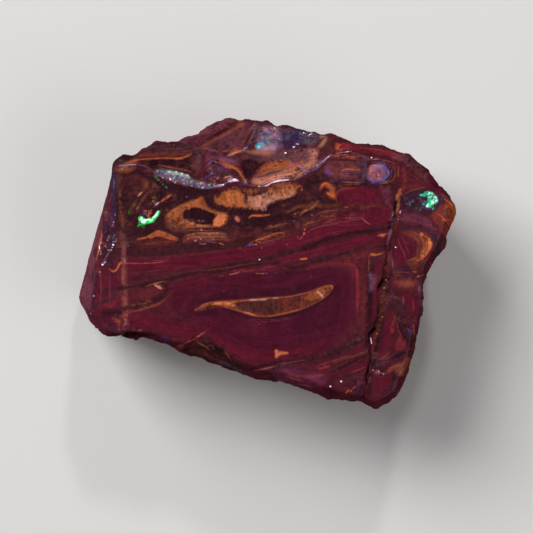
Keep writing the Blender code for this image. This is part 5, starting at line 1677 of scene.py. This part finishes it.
colour, banded = opal.coat("bands", fray * 1.3 + (blotch - 0.5) * 5, 2.2, colour)
colour = opal.stained(banded * opal.stepped(blotch * 0.5 + grit * 0.5, 0.52, 0.42) * 0.4, colour, "soot")
colour, filled = opal.coat("patches", ragged + (dust - 0.5) * 5, 3, colour)
spotted = opal.stepped(blotch + (grit - 0.5) * 0.5, 0.5, 0.36)
colour = opal.stained(filled * spotted * 0.55, colour, "umber")
colour = opal.shaded(filled * opal.stepped(fibres, 0.45, 0.7), colour, 1.25, 1.3, 1.3)
colour = opal.shaded(filled * opal.stepped(fibres * 0.6 + grit * 0.4, 0.5, 0.38), colour, 0.72, 0.66, 0.6)
colour, _ = opal.coat("seams", fray * 0.7, 1.4, colour, worn)
colour, _ = opal.coat("veins_and_highlights", fray * 0.7, 1.4, colour, worn)
colour, _ = opal.coat("specks", fray * 0.35, 0.8, colour)
opal.report("coats")

# %% Speckles in the glassy stone
glassy = opal.stored("potch")
speckles = (
    # noise, where the speckle begins and where it is full, colour
    (hues[0], 0.54, 0.62, "lilac"),
    (hues[1], 0.56, 0.64, "violet"),
    (hues[2], 0.58, 0.66, "steel"),
    (fine, 0.62, 0.7, "teal"),
    (hues[0], 0.68, 0.74, "white"),
)
for chosen, low, high, name in speckles:
    colour = opal.stained(glassy * opal.stepped(chosen, low, high) * 0.6, colour, name)
opal.report("glassy stone")

# %% Earthy pockets in the broken sides
EARTHY_FROM = 1.4  # millimetres below the widest line at which the broken stone is all earthy

rough_share = opal.stored("broken")
colour = opal.shaded(rough_share, colour, 0.92, 0.84, 0.84)
earthy = rough_share * opal.stepped(opal.stored("hidden"), 0, EARTHY_FROM)
pocket = coarse * 0.65 + blotch * 0.35 + (grit - 0.5) * 0.25
pockets = (
    # noise, where the pocket begins and where it is full, share, colour
    (blotch * 0.6 + layers * 0.4, 0.46, 0.6, 0.7, "khaki"),
    (pocket, 0.52, 0.62, 0.75, "clay"),
    (pocket, 0.57, 0.64, 0.6, "ochre"),
    (pocket, 0.46, 0.38, 0.75, "soot"),
    (dust, 0.55, 0.75, 0.3, "sand"),
)
for chosen, low, high, share, name in pockets:
    colour = opal.stained(earthy * opal.stepped(chosen, low, high) * share, colour, name)
speckle = (mottle - 0.5) * 0.5 + (grit - 0.5) * 0.9 + 1
colour = opal.node("ShaderNodeVectorMath", {"operation": "SCALE"}, {0: colour, "Scale": speckle})
opal.report("broken sides")

# %% The fire as painted glowing light, the gloss and the bumps
BUMP_HEIGHT = 0.18  # millimetres

# painted light: the fire coat feeds the emission, and the base colour under a flash turns dark
glow, flash = opal.coat("fire", fray * 0.9, 1.6, linear(0, 0, 0))
glow = opal.shaded(opal.stepped(grit, 0.58, 0.4), glow, 0.3, 0.4, 0.35)
colour = opal.stained(flash, colour, "soot")
bumps = (mottle * 0.6 + grit * 0.4) * (rough_share * 0.85 + 0.15)
bump_inputs = {"Strength": 0.5, "Distance": BUMP_HEIGHT * MM, "Height": bumps}

opal.set(Base_Color=colour, Emission_Color=glow, Emission_Strength=1)
opal.set(Roughness=rough_share * 0.25 + (grit - 0.5) * 0.14 + 0.3, Specular_IOR_Level=0)
opal.set(Coat_Weight=opal.stored("polish") * (mottle * 0.15 + 0.2) + glassy * 0.3 + 0.015)
opal.set(Coat_Roughness=0.15, Normal=opal.node("ShaderNodeBump", None, bump_inputs))
stone.data.materials.append(opal.material)
opal.report("finish")

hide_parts("boulder_opal")
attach(stone, "root")

# %% [markdown]
# ## Floor, light and camera
#
# The stone lies on a pale matt sheet, with its sawn face up. The camera looks straight
# down with a long lens, so the face keeps its true outline. A large soft light from the
# upper left models the broken slopes, a weaker one opens the shadows, and a small one
# makes the glassy rims glint. Overhead it is dark, so the face keeps its deep colour.

# %% The floor
FLOOR_SIDE = 1.0  # metres, like every measure of the floor, lights and camera clip

bpy.ops.object.select_all(action="DESELECT")
bpy.ops.mesh.primitive_plane_add(size=FLOOR_SIDE, location=(0, 0, 0))
floor = bpy.context.object
floor.name = "floor"
paper = Finish("pale_sheet")
paper.set(Base_Color=linear(0.74, 0.73, 0.72), Roughness=0.9)
floor.data.materials.append(paper.material)
print("floor laid")

# %% The lights
AIM = Vector((0, 0, 0.007))  # a point in the middle of the stone


def lamp(name, size, power, place):
    """A square soft light that faces the stone."""
    light = bpy.data.lights.new(name, "AREA")
    light.size, light.energy = size, power
    lamp_object = bpy.data.objects.new(name, light)
    lamp_object.location = place
    lamp_object.rotation_euler = (AIM - Vector(place)).to_track_quat("-Z", "Y").to_euler()
    bpy.context.scene.collection.objects.link(lamp_object)


lamp("key", size=0.5, power=7, place=(-0.45, 0.4, 0.6))
lamp("fill", size=0.7, power=2.2, place=(0.6, -0.35, 0.5))
lamp("glint", size=0.05, power=0.8, place=(0.1, 0.5, 0.42))

# %% The room around it
# how far up the sky each shade begins, from 0 at the horizon to 1 overhead, and the shade
LOW_SKY = (0.06, linear(0.72, 0.72, 0.73))
HIGH_SKY = (0.45, linear(0.025, 0.025, 0.028))

world = bpy.data.worlds.new("studio")
bpy.context.scene.world = world
world.use_nodes = True
tree = world.node_tree
direction = tree.nodes.new("ShaderNodeTexCoord")
height = tree.nodes.new("ShaderNodeSeparateXYZ")
ramp = tree.nodes.new("ShaderNodeValToRGB")
tree.links.new(direction.outputs["Generated"], height.inputs[0])
tree.links.new(height.outputs["Z"], ramp.inputs[0])
tree.links.new(ramp.outputs[0], tree.nodes["Background"].inputs[0])
for stop, (position, shade) in zip(ramp.color_ramp.elements, (LOW_SKY, HIGH_SKY)):
    stop.position, stop.color = position, shade
print("three lights and the room")

# %% The camera
PICTURE_MM = 53.3  # the width that the picture covers at the show face
LENS, SENSOR = 500, 36  # the camera's focal length and the width of its sensor, in millimetres
PICTURE_MIDDLE = (266.5, 266.5)  # on the drawing sheet
CLIP = (0.01, 10)  # the nearest and farthest things it sees

away = PICTURE_MM * LENS / SENSOR
camera = bpy.data.cameras.new("camera")
camera.lens, camera.sensor_width = LENS, SENSOR
camera.clip_start, camera.clip_end = CLIP
camera_object = bpy.data.objects.new("camera", camera)
camera_object.location = (
    (PICTURE_MIDDLE[0] - SHEET[0]) / 10 * MM,
    (SHEET[1] - PICTURE_MIDDLE[1]) / 10 * MM,
    (FACE + away) * MM,
)
bpy.context.scene.collection.objects.link(camera_object)
bpy.context.scene.camera = camera_object
bpy.context.scene.view_settings.view_transform = "Standard"
print("camera", round(away), "mm above the face")
